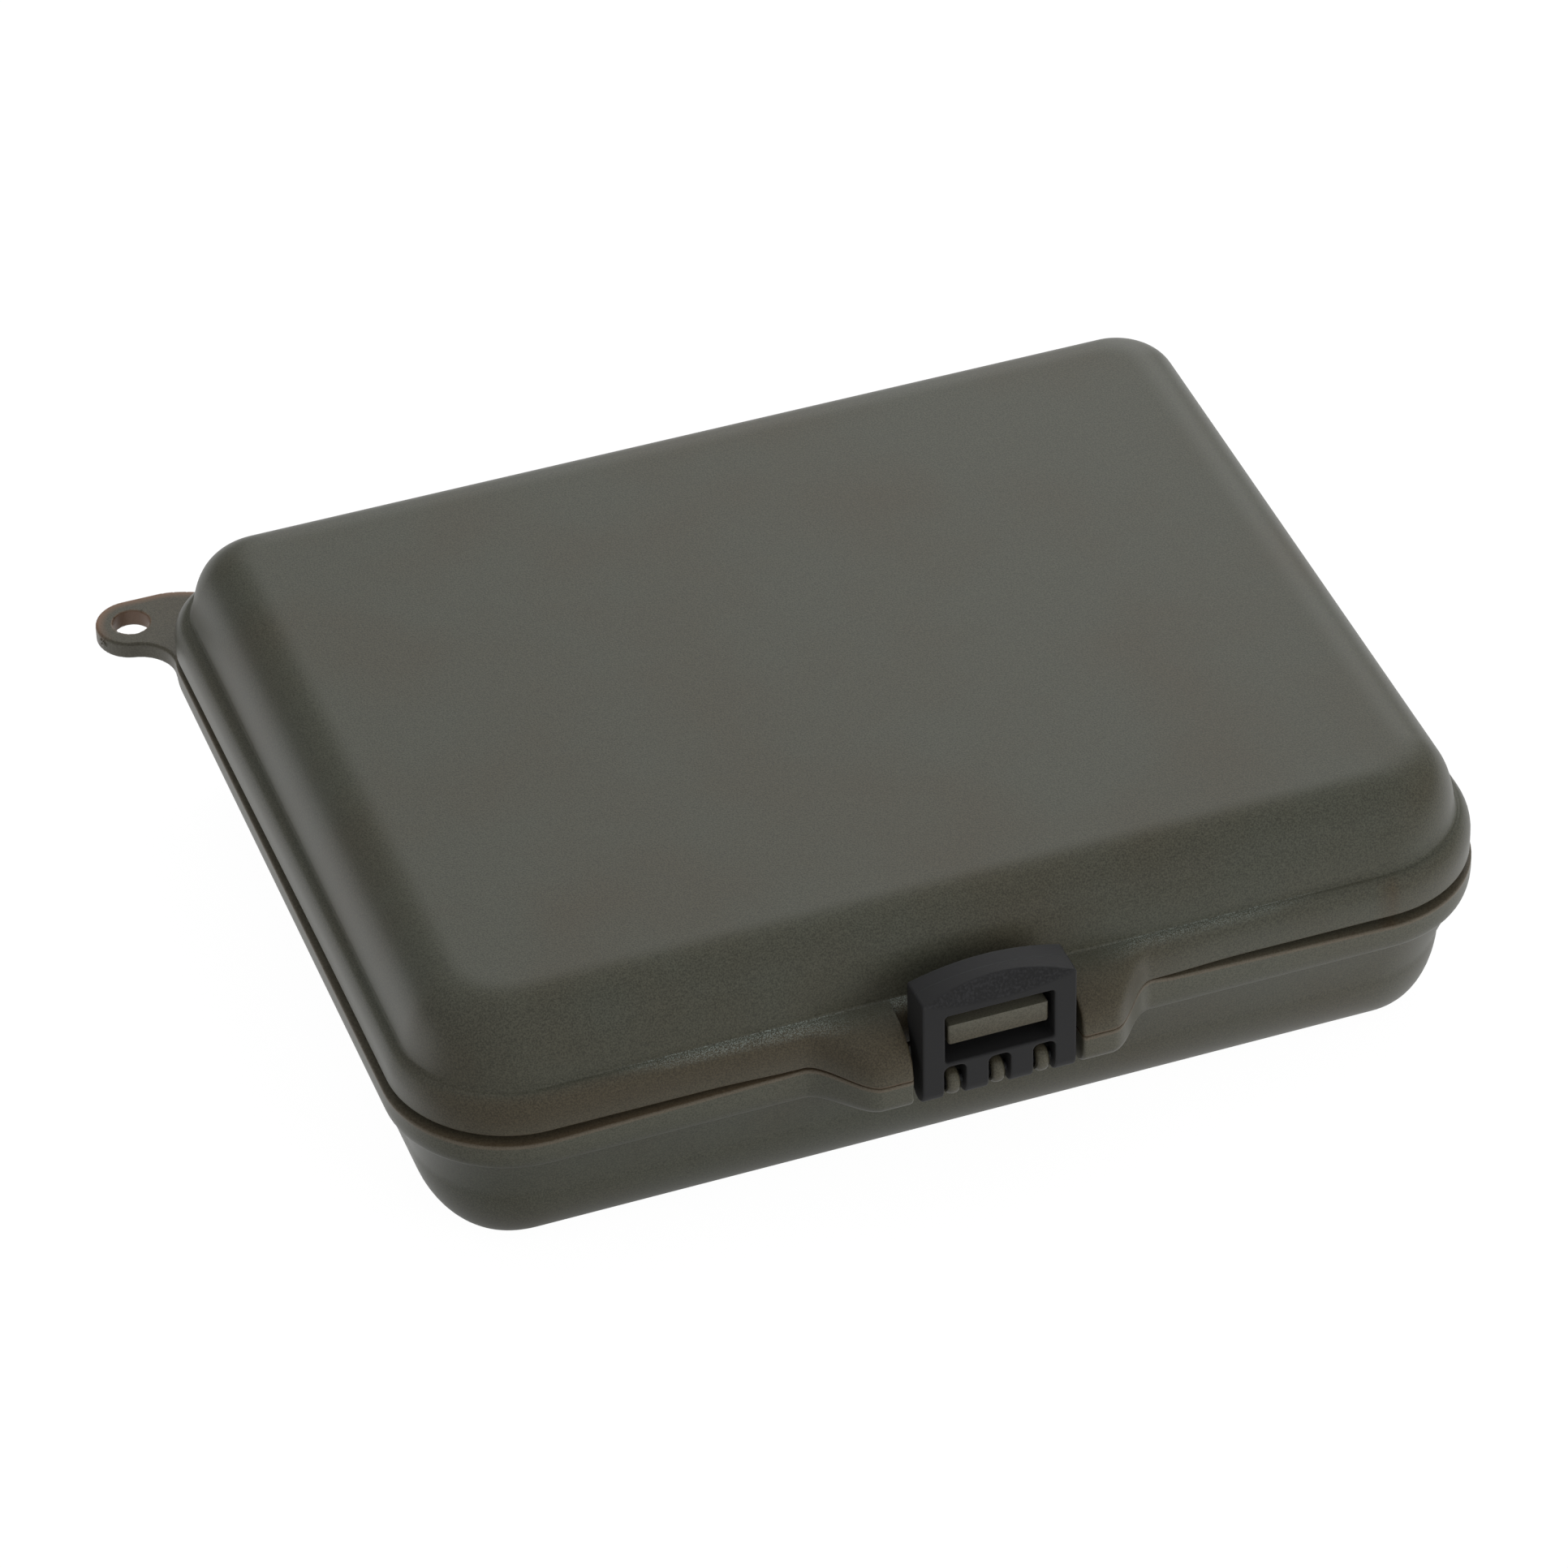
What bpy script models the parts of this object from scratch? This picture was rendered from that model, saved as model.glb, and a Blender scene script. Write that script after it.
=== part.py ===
"""Waterproof hard case: a shallow moulded tub, a hinged lid, a rubber seal, a snap latch and a lanyard ear.

Units are metres, +Z is up and the front, with the latch, faces -Y. The origin is the middle of the flat
underside. Each shell is one loft: horizontal rings of the rounded plan, each given by its height and its
inset from the rim.
"""

import math
from collections import namedtuple

import bmesh
import bpy
from mathutils import Matrix, Vector

# Overall sizes of the rim, which is the widest line of the case
CASE_LENGTH = 0.155
CASE_DEPTH = 0.1242
RIM_CORNER_RADIUS = 0.0176
REAR_CORNER_SHARE = 0.68
BASE_HEIGHT = 0.023
LID_HEIGHT = 0.0184
WALL = 0.002
FLOOR = 0.002

# Base: heights are measured down from the parting plane, which is the top of the rim at the corners
RIM_BAND_STRAIGHT = 0.0017
RIM_BAND_HEIGHT = 0.0046
RIM_BAND_TUCK = 0.00085
RIM_EDGE = 0.0003
FRONT_RIM_RISE = 0.001
BODY_INSET = 0.0017
BODY_CORNER_RADIUS = 0.0152
BODY_STRAIGHT = 0.0119
BODY_TAPER_INSET = 0.0037
UNDERSIDE_ROUND = 0.0078
UNDERSIDE_CORNER_RADIUS = 0.0031

# Sealing tongue on the base, and the lid's skirt, seal channel and guide lip around it
SKIRT_WALL = 0.002
TONGUE_CLEARANCE = 0.0004
TONGUE_WALL = 0.0016
TONGUE_HEIGHT = 0.0024
SEAL_CLEARANCE = 0.0003
SEAL_HEIGHT = 0.0014
LIP_WALL = 0.0016

# Lid: heights are measured up from the parting plane
LID_GAP = 0.0014
SKIRT_STRAIGHT = 0.004
SKIRT_EDGE = 0.0003
CREASE_HEIGHT = 0.0074
CREASE_INSET = 0.0026
CREASE_CORNER_RADIUS = 0.0154
CREASE_FILLET = 0.0004
TOP_CORNER_RADIUS = 0.006
INNER_ROUND = 0.0066

# The dome's side leans in by this many degrees at the crease, and bends from there to the level top
DOME_LEAN = 11
DOME_BEND_POWER = 2.5
DOME_EASE_POWER = 2
DOME_CORNER_POWER = 0.6

# Shoulders: the two halves of the boss that guards the latch
BOSS_REACH = 0.0074
BOSS_OUTER_X = 0.024
BOSS_INNER_X = 0.0171
RECESS_HALF_WIDTH = 0.0119
RECESS_EDGE = 0.0005
BOSS_ROUND_START = 0.0009
BASE_BOSS_ROUND = 0.0028
BOSS_ROUND_POWER = 2.5

# Latch, which turns on a pin through the base's three front knuckles
LATCH_AXIS_OFFSET = 0.0054
LATCH_AXIS_DROP = 0.0016
LATCH_HALF_WIDTH = 0.01085
LATCH_BARREL_RADIUS = 0.0022
LATCH_BACK_DEPTH = 0.0038
LATCH_WAIST_SHARE = 0.35
LATCH_TOP_HEIGHT = 0.0153
LATCH_TOP_EDGE = 0.0003
LATCH_ARCH_DROP = 0.0017
WINDOW_HALF_WIDTH = 0.0077
WINDOW_BOTTOM = 0.003
WINDOW_TOP = 0.0111
CROSSBAR_HEIGHT = 0.0007
SCOOP_BOTTOM = 0.0122
SCOOP_TOP_DEPTH = 0.00165
SCOOP_HOLLOW = 0.00064
SCOOP_HALF_WIDTH = 0.0106
KNUCKLE_PITCH = 0.0063
KNUCKLE_WIDTH = 0.0019
KNUCKLE_RADIUS = 0.00205
KNUCKLE_SIDE_CLEARANCE = 0.0006
KNUCKLE_SIDES = (-1, 0, 1)
LATCH_PIN_RADIUS = 0.0008
LATCH_PIN_LENGTH = 0.0198

# Catch bar on the lid, which stands in the latch's window under its hook
CATCH_HALF_WIDTH = 0.0063
CATCH_BOTTOM = 0.0057
CATCH_TOP = 0.0089
CATCH_REACH = 0.0069
CATCH_EDGE = 0.0004
HOOK_CLEARANCE = 0.0003
HOOK_DEPTH = 0.0037

# Rear hinges
HINGE_SPACING = 0.08
HINGE_OFFSET = 0.0031
HINGE_BARREL_RADIUS = 0.0028
HINGE_LID_KNUCKLE_LENGTH = 0.01
HINGE_BASE_KNUCKLE_LENGTH = 0.006
HINGE_SIDE_CLEARANCE = 0.0004
HINGE_ARM_SETBACK = 0.0004
HINGE_PIN_RADIUS = 0.001
HINGE_PIN_RECESS = 0.0003
HINGE_SIDES = (-1, 1)
PIN_CLEARANCE = 0.0001

# Lanyard ear at the rear left corner, moulded on the rim: its hole stands out past the side and the back
EAR_HOLE_SIDE_OUTSET = 0.003
EAR_HOLE_REAR_OUTSET = 0.002
EAR_HOLE_RADIUS = 0.00265
EAR_TIP_RADIUS = 0.0051
EAR_THICKNESS = 0.0026
EAR_DROP = 0.0002
EAR_SIDE_FILLET = 0.0056
EAR_REAR_START = 0.002
EAR_REAR_END = 0.021
EAR_OVERLAP = 0.0015

# Facet counts, and how far cutters and joined shapes run past what they cut or join
CORNER_STEPS = 7
ROUND_STEPS = 5
DOME_STEPS = 9
BAND_STEPS = 4
BOSS_STEPS = 6
ARC_STEPS = 12
PIN_SIDES = 24
ARCH_SIDES = 96
OVERRUN = 0.002
ROOT_DEPTH = 0.0013
MERGE_DISTANCE = 1e-6
SHARP_ANGLE = 35

# Colours as linear red, green and blue
OLIVE = (0.082, 0.080, 0.063)
LATCH_BLACK = (0.022, 0.022, 0.024)
RUBBER_BLACK = (0.012, 0.012, 0.012)
STEEL_GREY = (0.56, 0.57, 0.58)

HALF_LENGTH = CASE_LENGTH / 2
HALF_DEPTH = CASE_DEPTH / 2
PARTING_Z = BASE_HEIGHT
TONGUE_INSET = SKIRT_WALL + TONGUE_CLEARANCE
CAVITY_INSET = TONGUE_INSET + TONGUE_WALL
CHANNEL_INNER_INSET = CAVITY_INSET + TONGUE_CLEARANCE
LIP_INSET = CHANNEL_INNER_INSET + LIP_WALL
SEAL_BOTTOM = TONGUE_HEIGHT + SEAL_CLEARANCE
CHANNEL_TOP = SEAL_BOTTOM + SEAL_HEIGHT + SEAL_CLEARANCE
LID_AXIS = Vector((0, HALF_DEPTH + HINGE_OFFSET, PARTING_Z + LID_GAP / 2))
LATCH_AXIS = Vector((0, -HALF_DEPTH - LATCH_AXIS_OFFSET, PARTING_Z - LATCH_AXIS_DROP))
LATCH_FRONT_Y = LATCH_AXIS.y - LATCH_BARREL_RADIUS
EAR_HOLE_X = -HALF_LENGTH - EAR_HOLE_SIDE_OUTSET
EAR_HOLE_Y = HALF_DEPTH + EAR_HOLE_REAR_OUTSET

# One ring of a shell: height from the parting plane, inset from the rim line, corner radius in plan,
# how far the shoulders stand out, and how far the front is raised
Level = namedtuple("Level", "height inset radius boss rise", defaults=(0, 0))


def clear_scene():
    for obj in list(bpy.data.objects):
        bpy.data.objects.remove(obj, do_unlink=True)


def new_collection(name):
    collection = bpy.data.collections.new(name)
    bpy.context.scene.collection.children.link(collection)
    return collection


def new_material(name, colour, roughness, metallic=0.0):
    material = bpy.data.materials.new(name)
    material.use_nodes = True
    shader = material.node_tree.nodes["Principled BSDF"]
    shader.inputs["Base Color"].default_value = (*colour, 1.0)
    shader.inputs["Roughness"].default_value = roughness
    shader.inputs["Metallic"].default_value = metallic
    return material


def object_from(bm, name, collection):
    """Closes the bmesh and links it as an object whose coordinates are the world's."""
    bmesh.ops.remove_doubles(bm, verts=bm.verts, dist=MERGE_DISTANCE)
    bmesh.ops.recalc_face_normals(bm, faces=bm.faces)
    mesh = bpy.data.meshes.new(name)
    bm.to_mesh(mesh)
    bm.free()
    obj = bpy.data.objects.new(name, mesh)
    collection.objects.link(obj)
    return obj


def box(name, low, high, collection):
    low, high = Vector(low), Vector(high)
    bm = bmesh.new()
    bmesh.ops.create_cube(bm, size=1)
    bmesh.ops.scale(bm, vec=high - low, verts=bm.verts)
    bmesh.ops.translate(bm, vec=(low + high) / 2, verts=bm.verts)
    return object_from(bm, name, collection)


def cylinder(name, centre, direction, radius, length, collection, sides=PIN_SIDES):
    """A closed cylinder whose middle is centre and whose axis runs along direction."""
    bm = bmesh.new()
    bmesh.ops.create_cone(
        bm, cap_ends=True, segments=sides, radius1=radius, radius2=radius, depth=length
    )
    turn = Vector((0, 0, 1)).rotation_difference(Vector(direction)).to_matrix().to_4x4()
    bmesh.ops.transform(bm, matrix=Matrix.Translation(centre) @ turn, verts=bm.verts)
    return object_from(bm, name, collection)


def extruded_outline(name, points, frame, thickness, collection):
    """A flat outline in frame's XY plane, extruded half of thickness to each side of it, as a mesh."""
    curve = bpy.data.curves.new(name + "_outline", "CURVE")
    curve.dimensions = "2D"
    curve.fill_mode = "BOTH"
    curve.extrude = thickness / 2
    spline = curve.splines.new("POLY")
    spline.points.add(len(points) - 1)
    for spline_point, (x, y) in zip(spline.points, points):
        spline_point.co = (x, y, 0, 1)
    spline.use_cyclic_u = True
    guide = bpy.data.objects.new(name + "_outline", curve)
    collection.objects.link(guide)
    guide.matrix_world = frame
    bpy.context.view_layer.update()
    graph = bpy.context.evaluated_depsgraph_get()
    mesh = bpy.data.meshes.new_from_object(guide.evaluated_get(graph))
    bm = bmesh.new()
    bm.from_mesh(mesh)
    bmesh.ops.transform(bm, matrix=guide.matrix_world, verts=bm.verts)
    bpy.data.objects.remove(guide, do_unlink=True)
    bpy.data.meshes.remove(mesh)
    return object_from(bm, name, collection)


def side_frame(x):
    """A frame at this X whose own x and y axes are the world's Y and Z."""
    turn = Matrix(((0, 0, 1), (1, 0, 0), (0, 1, 0))).to_4x4()
    return Matrix.Translation((x, 0, 0)) @ turn


def arc(centre_x, centre_y, radius, start_degrees, end_degrees, steps=ARC_STEPS):
    points = []
    for step in range(steps + 1):
        angle = math.radians(start_degrees + (end_degrees - start_degrees) * step / steps)
        points.append((centre_x + radius * math.cos(angle), centre_y + radius * math.sin(angle)))
    return points


def combine(obj, other, operation):
    """Joins or cuts obj with a helper object, which isn't rendered itself."""
    other.hide_render = True
    other.display_type = "WIRE"
    modifier = obj.modifiers.new(other.name, "BOOLEAN")
    modifier.operation = operation
    modifier.solver = "EXACT"
    modifier.object = other


def finish(obj, material, origin=None, parent=None):
    """Gives the object its material, its origin on the joint's axis, and its parent."""
    obj.data.materials.append(material)
    obj.data.shade_smooth()
    obj.data.set_sharp_from_angle(angle=math.radians(SHARP_ANGLE))
    if origin is not None:
        obj.data.transform(Matrix.Translation(-origin))
        obj.location = origin
    if parent is not None:
        bpy.context.view_layer.update()
        obj.parent = parent
        obj.matrix_parent_inverse = parent.matrix_world.inverted()


def new_empty(name, location, collection, parent=None):
    empty = bpy.data.objects.new(name, None)
    empty.location = location
    empty.parent = parent
    collection.objects.link(empty)
    return empty


def smooth(share):
    """Eases a share from 0 to 1."""
    share = min(max(share, 0), 1)
    return share * share * (3 - 2 * share)


def left_front_points(boss):
    """(x, share) of the front's left half, from the corner inwards: share is that of the shoulder's reach."""
    points = []
    for step in range(BOSS_STEPS + 1):
        share = step / BOSS_STEPS
        points.append((-BOSS_OUTER_X + (BOSS_OUTER_X - BOSS_INNER_X) * share, smooth(share)))
    spread = 0 if boss else RECESS_EDGE / 2
    points.append((-RECESS_HALF_WIDTH - RECESS_EDGE, 1))
    points.append((-RECESS_HALF_WIDTH - spread, 1 - RECESS_EDGE / BOSS_REACH))
    points.append((-RECESS_HALF_WIDTH + spread, 0))
    return points


def plan_ring(level):
    """The level's ring, counterclockwise seen from above, starting at the front left corner."""
    half_x = HALF_LENGTH - level.inset
    half_y = HALF_DEPTH - level.inset
    z = PARTING_Z + level.height
    corners = []
    for sign_x, sign_y, start in ((-1, -1, 180), (1, -1, 270), (1, 1, 0), (-1, 1, 90)):
        radius = level.radius * (REAR_CORNER_SHARE if sign_y > 0 else 1)
        centre_x, centre_y = sign_x * (half_x - radius), sign_y * (half_y - radius)
        corner = arc(centre_x, centre_y, radius, start, start + 90, CORNER_STEPS)
        corners.append([(x, y, z) for x, y in corner])
    left = left_front_points(level.boss)
    right = [(-x, share) for x, share in reversed(left)]
    front = [(x, -half_y - level.boss * share, z + level.rise) for x, share in left + right]
    return corners[0] + front + corners[1] + corners[2] + corners[3]


def loft(name, levels, collection, closed=False):
    """A solid through the levels' rings: closed joins the last to the first, otherwise both get a cap."""
    bm = bmesh.new()
    rings = [[bm.verts.new(point) for point in plan_ring(level)] for level in levels]
    pairs = list(zip(rings, rings[1:]))
    if closed:
        pairs.append((rings[-1], rings[0]))
    for first, second in pairs:
        for index in range(len(first)):
            after = (index + 1) % len(first)
            bm.faces.new((first[index], first[after], second[after], second[index]))
    if not closed:
        bm.faces.new(reversed(rings[0]))
        bm.faces.new(rings[-1])
    return object_from(bm, name, collection)


def quarter_round(steps):
    """(along, out) shares of a quarter round: out starts tangent to the wall, along grows to 1."""
    for step in range(1, steps + 1):
        angle = math.pi / 2 * step / steps
        yield math.sin(angle), 1 - math.cos(angle)


def blend(first, second, share):
    return first + (second - first) * share


def underside_round(start, depth, inset, reach, radius, end_radius):
    """Levels of the round from a wall, at height start, down to a floor that is depth lower."""
    levels = []
    for along, out in quarter_round(ROUND_STEPS):
        levels.append(Level(start - depth * along, inset + reach * out, blend(radius, end_radius, out)))
    return levels


def base_levels():
    """The base, from its underside up the outside, over the rim and tongue, and down into its cavity."""
    outside = [Level(-BODY_STRAIGHT, BODY_TAPER_INSET, BODY_CORNER_RADIUS)]
    outside += underside_round(
        -BODY_STRAIGHT,
        BASE_HEIGHT - BODY_STRAIGHT,
        BODY_TAPER_INSET,
        UNDERSIDE_ROUND,
        BODY_CORNER_RADIUS,
        UNDERSIDE_CORNER_RADIUS,
    )
    levels = list(reversed(outside))
    levels.append(Level(-RIM_BAND_HEIGHT, BODY_INSET, BODY_CORNER_RADIUS))
    for step in range(BAND_STEPS, -1, -1):
        along, out = step / BAND_STEPS, 1 - math.sqrt(1 - (step / BAND_STEPS) ** 2)
        height = -blend(RIM_BAND_STRAIGHT, RIM_BAND_HEIGHT, along)
        inset = RIM_BAND_TUCK * out
        boss = BOSS_REACH - BASE_BOSS_ROUND * out
        levels.append(Level(height, inset, RIM_CORNER_RADIUS - inset, boss))
    rim_radius = RIM_CORNER_RADIUS
    tongue_radius = rim_radius - TONGUE_INSET
    cavity_radius = rim_radius - CAVITY_INSET
    levels.append(Level(-RIM_EDGE, 0, rim_radius, BOSS_REACH, FRONT_RIM_RISE))
    levels.append(Level(0, RIM_EDGE, rim_radius - RIM_EDGE, BOSS_REACH, FRONT_RIM_RISE))
    levels.append(Level(0, TONGUE_INSET, tongue_radius, 0, FRONT_RIM_RISE))
    levels.append(Level(TONGUE_HEIGHT, TONGUE_INSET, tongue_radius))
    levels.append(Level(TONGUE_HEIGHT, CAVITY_INSET, cavity_radius))
    levels.append(Level(-RIM_BAND_HEIGHT, CAVITY_INSET, cavity_radius))
    inner_inset = BODY_TAPER_INSET + WALL
    inner_radius = BODY_CORNER_RADIUS - WALL
    levels.append(Level(-BODY_STRAIGHT, inner_inset, inner_radius))
    levels += underside_round(
        -BODY_STRAIGHT,
        BASE_HEIGHT - BODY_STRAIGHT - FLOOR,
        inner_inset,
        INNER_ROUND,
        inner_radius,
        UNDERSIDE_CORNER_RADIUS,
    )
    return levels


def boss_at(height, inset):
    """How far the lid's shoulder stands out from the skirt at this height, as a soft round."""
    run = min(max((height - BOSS_ROUND_START) / (CREASE_HEIGHT - BOSS_ROUND_START), 0), 1)
    front = (BOSS_REACH + CREASE_INSET) * (1 - run**BOSS_ROUND_POWER) ** (1 / BOSS_ROUND_POWER)
    return max(front - (CREASE_INSET - inset), 0)


def skirt_levels():
    """The lid's skirt from its lower edge up to the crease."""
    levels = [Level(LID_GAP, SKIRT_EDGE, RIM_CORNER_RADIUS - SKIRT_EDGE, boss_at(LID_GAP, SKIRT_EDGE))]
    for height in (LID_GAP + SKIRT_EDGE, SKIRT_STRAIGHT):
        levels.append(Level(height, 0, RIM_CORNER_RADIUS, boss_at(height, 0)))
    for along, out in quarter_round(ROUND_STEPS):
        height = blend(SKIRT_STRAIGHT, CREASE_HEIGHT, along)
        inset = (CREASE_INSET - CREASE_FILLET) * out
        radius = blend(RIM_CORNER_RADIUS, CREASE_CORNER_RADIUS, out)
        levels.append(Level(height, inset, radius, boss_at(height, inset)))
    return levels


def dome_levels(depth):
    """The dome from the crease to the flat top, as its outside or at this depth below it."""
    tilts = []
    for step in range(DOME_STEPS):
        share = (step + 0.5) / DOME_STEPS
        bend = 1 - (1 - share**DOME_BEND_POWER) ** DOME_EASE_POWER
        tilts.append(math.radians(blend(DOME_LEAN, 90, bend)))
    height, inset = CREASE_HEIGHT + CREASE_FILLET, CREASE_INSET
    step_length = (LID_HEIGHT - height) / sum(math.cos(tilt) for tilt in tilts)
    reach = step_length * sum(math.sin(tilt) for tilt in tilts)
    slopes = [(first + second) / 2 for first, second in zip(tilts, tilts[1:])] + [math.pi / 2]
    levels = []
    for tilt, slope in zip(tilts, slopes):
        height += step_length * math.cos(tilt)
        inset += step_length * math.sin(tilt)
        out = min((inset - CREASE_INSET) / reach, 1) ** DOME_CORNER_POWER
        radius = blend(CREASE_CORNER_RADIUS, TOP_CORNER_RADIUS, out)
        inwards = depth * math.cos(slope)
        levels.append(Level(height - depth * math.sin(slope), inset + inwards, radius - inwards))
    return levels


def lid_levels():
    """The lid from its ceiling down its cavity, past the guide lip and seal channel, and up its outside."""
    levels = [level for level in reversed(dome_levels(WALL)) if level.inset > LIP_INSET]
    lip_radius = RIM_CORNER_RADIUS - LIP_INSET
    channel_inner_radius = RIM_CORNER_RADIUS - CHANNEL_INNER_INSET
    channel_outer_radius = RIM_CORNER_RADIUS - SKIRT_WALL
    levels.append(Level(CREASE_HEIGHT, LIP_INSET, lip_radius))
    levels.append(Level(LID_GAP, LIP_INSET, lip_radius))
    levels.append(Level(LID_GAP, CHANNEL_INNER_INSET, channel_inner_radius))
    levels.append(Level(CHANNEL_TOP, CHANNEL_INNER_INSET, channel_inner_radius))
    levels.append(Level(CHANNEL_TOP, SKIRT_WALL, channel_outer_radius))
    levels.append(Level(LID_GAP, SKIRT_WALL, channel_outer_radius))
    levels += skirt_levels()
    for along, out in quarter_round(BAND_STEPS):
        height = CREASE_HEIGHT + CREASE_FILLET * out
        inset = CREASE_INSET - CREASE_FILLET * (1 - along)
        levels.append(Level(height, inset, CREASE_CORNER_RADIUS))
    return levels + dome_levels(0)


def seal_levels():
    outer_inset = SKIRT_WALL + SEAL_CLEARANCE
    inner_inset = CHANNEL_INNER_INSET - SEAL_CLEARANCE
    corners = ((0, outer_inset), (SEAL_HEIGHT, outer_inset), (SEAL_HEIGHT, inner_inset), (0, inner_inset))
    return [Level(SEAL_BOTTOM + height, inset, RIM_CORNER_RADIUS - inset) for height, inset in corners]


def left_of_meeting(first, first_distance, second, second_distance):
    """The point at these distances from the two, on the left when looking from the first to the second."""
    way = second - first
    along = (first_distance**2 - second_distance**2 + way.length_squared) / (2 * way.length)
    aside = math.sqrt(first_distance**2 - along**2)
    unit = way.normalized()
    return first + along * unit + aside * Vector((-unit.y, unit.x))


def heading(start, end):
    return math.degrees(math.atan2(end.y - start.y, end.x - start.x))


def ear_points():
    """The ear's outline in plan: side fillet, round tip, rear edge easing into the back, and back inside."""
    rim_radius = RIM_CORNER_RADIUS * REAR_CORNER_SHARE
    rim = Vector((rim_radius - HALF_LENGTH, HALF_DEPTH - rim_radius))
    hole = Vector((EAR_HOLE_X, EAR_HOLE_Y))
    fillet = left_of_meeting(rim, EAR_SIDE_FILLET + rim_radius, hole, EAR_SIDE_FILLET + EAR_TIP_RADIUS)
    meeting = heading(fillet, hole)
    rim_heading = heading(fillet, rim)
    side = arc(fillet.x, fillet.y, EAR_SIDE_FILLET, rim_heading, meeting, ROUND_STEPS)
    tip = arc(EAR_HOLE_X, EAR_HOLE_Y, EAR_TIP_RADIUS, meeting + 180, 90)
    rear = []
    rear_top = EAR_HOLE_Y + EAR_TIP_RADIUS
    for step in range(ARC_STEPS + 1):
        share = step / ARC_STEPS
        x = -HALF_LENGTH + blend(EAR_REAR_START, EAR_REAR_END, share)
        rear.append((x, blend(rear_top, HALF_DEPTH, smooth(share))))
    inside = [(-HALF_LENGTH + EAR_REAR_END, HALF_DEPTH - EAR_OVERLAP)]
    inside += arc(rim.x, rim.y, rim_radius - EAR_OVERLAP, 90, rim_heading + 180, CORNER_STEPS)
    return side + tip[1:] + rear + inside


def build_ear(base, cutters):
    top = PARTING_Z - EAR_DROP
    frame = Matrix.Translation((0, 0, top - EAR_THICKNESS / 2))
    ear = extruded_outline("ear", ear_points(), frame, EAR_THICKNESS, cutters)
    combine(base, ear, "UNION")
    hole_centre = (EAR_HOLE_X, EAR_HOLE_Y, top - EAR_THICKNESS / 2)
    length = EAR_THICKNESS + 2 * OVERRUN
    hole = cylinder("ear_hole", hole_centre, (0, 0, 1), EAR_HOLE_RADIUS, length, cutters)
    combine(base, hole, "DIFFERENCE")


def front_knuckle_points():
    """Side outline of a front knuckle: a round nose about the latch's axis that runs back into the rim."""
    nose = arc(LATCH_AXIS.y, LATCH_AXIS.z, KNUCKLE_RADIUS, 270, 90)
    root = -HALF_DEPTH + ROOT_DEPTH
    top = LATCH_AXIS.z + KNUCKLE_RADIUS
    bottom = LATCH_AXIS.z - KNUCKLE_RADIUS
    return nose + [(root, top), (root, bottom)]


def rear_knuckle_points(rises):
    """Side outline of a rear knuckle: a barrel on the lid's axis, with an arm to the lid or to the base."""
    side = 1 if rises else -1
    arm_edge = LID_GAP / 2 + HINGE_ARM_SETBACK
    root = HALF_DEPTH - ROOT_DEPTH
    meeting = 180 - math.degrees(math.asin(arm_edge / HINGE_BARREL_RADIUS))
    barrel = arc(LID_AXIS.y, 0, HINGE_BARREL_RADIUS, 90, meeting - 360, 2 * ARC_STEPS)
    points = [(root, HINGE_BARREL_RADIUS)] + barrel + [(root, arm_edge)]
    return [(y, LID_AXIS.z + side * z) for y, z in points]


def build_front_knuckles(base, cutters):
    for side in KNUCKLE_SIDES:
        frame = side_frame(side * KNUCKLE_PITCH)
        name = f"front_knuckle_{side + 1}"
        knuckle = extruded_outline(name, front_knuckle_points(), frame, KNUCKLE_WIDTH, cutters)
        combine(base, knuckle, "UNION")
    length = 2 * (KNUCKLE_PITCH + KNUCKLE_WIDTH)
    radius = LATCH_PIN_RADIUS + PIN_CLEARANCE
    bore = cylinder("front_pin_bore", LATCH_AXIS, (1, 0, 0), radius, length, cutters)
    combine(base, bore, "DIFFERENCE")


def hinge_half_length():
    return HINGE_LID_KNUCKLE_LENGTH / 2 + HINGE_SIDE_CLEARANCE + HINGE_BASE_KNUCKLE_LENGTH


def build_hinge(side, base, lid, pin_material, case, collection, cutters):
    """One rear hinge: a knuckle of the lid between two of the base, and their pin."""
    word = "left" if side < 0 else "right"
    middle = side * HINGE_SPACING / 2
    centre = Vector((middle, LID_AXIS.y, LID_AXIS.z))
    half = hinge_half_length()
    lid_points = rear_knuckle_points(rises=True)
    lid_name = f"lid_knuckle_{word}"
    lid_knuckle = extruded_outline(
        lid_name, lid_points, side_frame(middle), HINGE_LID_KNUCKLE_LENGTH, cutters
    )
    combine(lid, lid_knuckle, "UNION")
    for end in HINGE_SIDES:
        place = middle + end * (half - HINGE_BASE_KNUCKLE_LENGTH / 2)
        name = f"base_knuckle_{word}_{end + 1}"
        points = rear_knuckle_points(rises=False)
        knuckle = extruded_outline(name, points, side_frame(place), HINGE_BASE_KNUCKLE_LENGTH, cutters)
        combine(base, knuckle, "UNION")
    for owner, tag in ((lid, "lid"), (base, "base")):
        radius = HINGE_PIN_RADIUS + PIN_CLEARANCE
        length = 2 * (half + OVERRUN)
        bore = cylinder(f"{tag}_bore_{word}", centre, (1, 0, 0), radius, length, cutters)
        combine(owner, bore, "DIFFERENCE")
    length = 2 * (half - HINGE_PIN_RECESS)
    pin = cylinder(f"hinge_pin_{word}", centre, (1, 0, 0), HINGE_PIN_RADIUS, length, collection)
    finish(pin, pin_material, origin=centre, parent=case)


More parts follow.
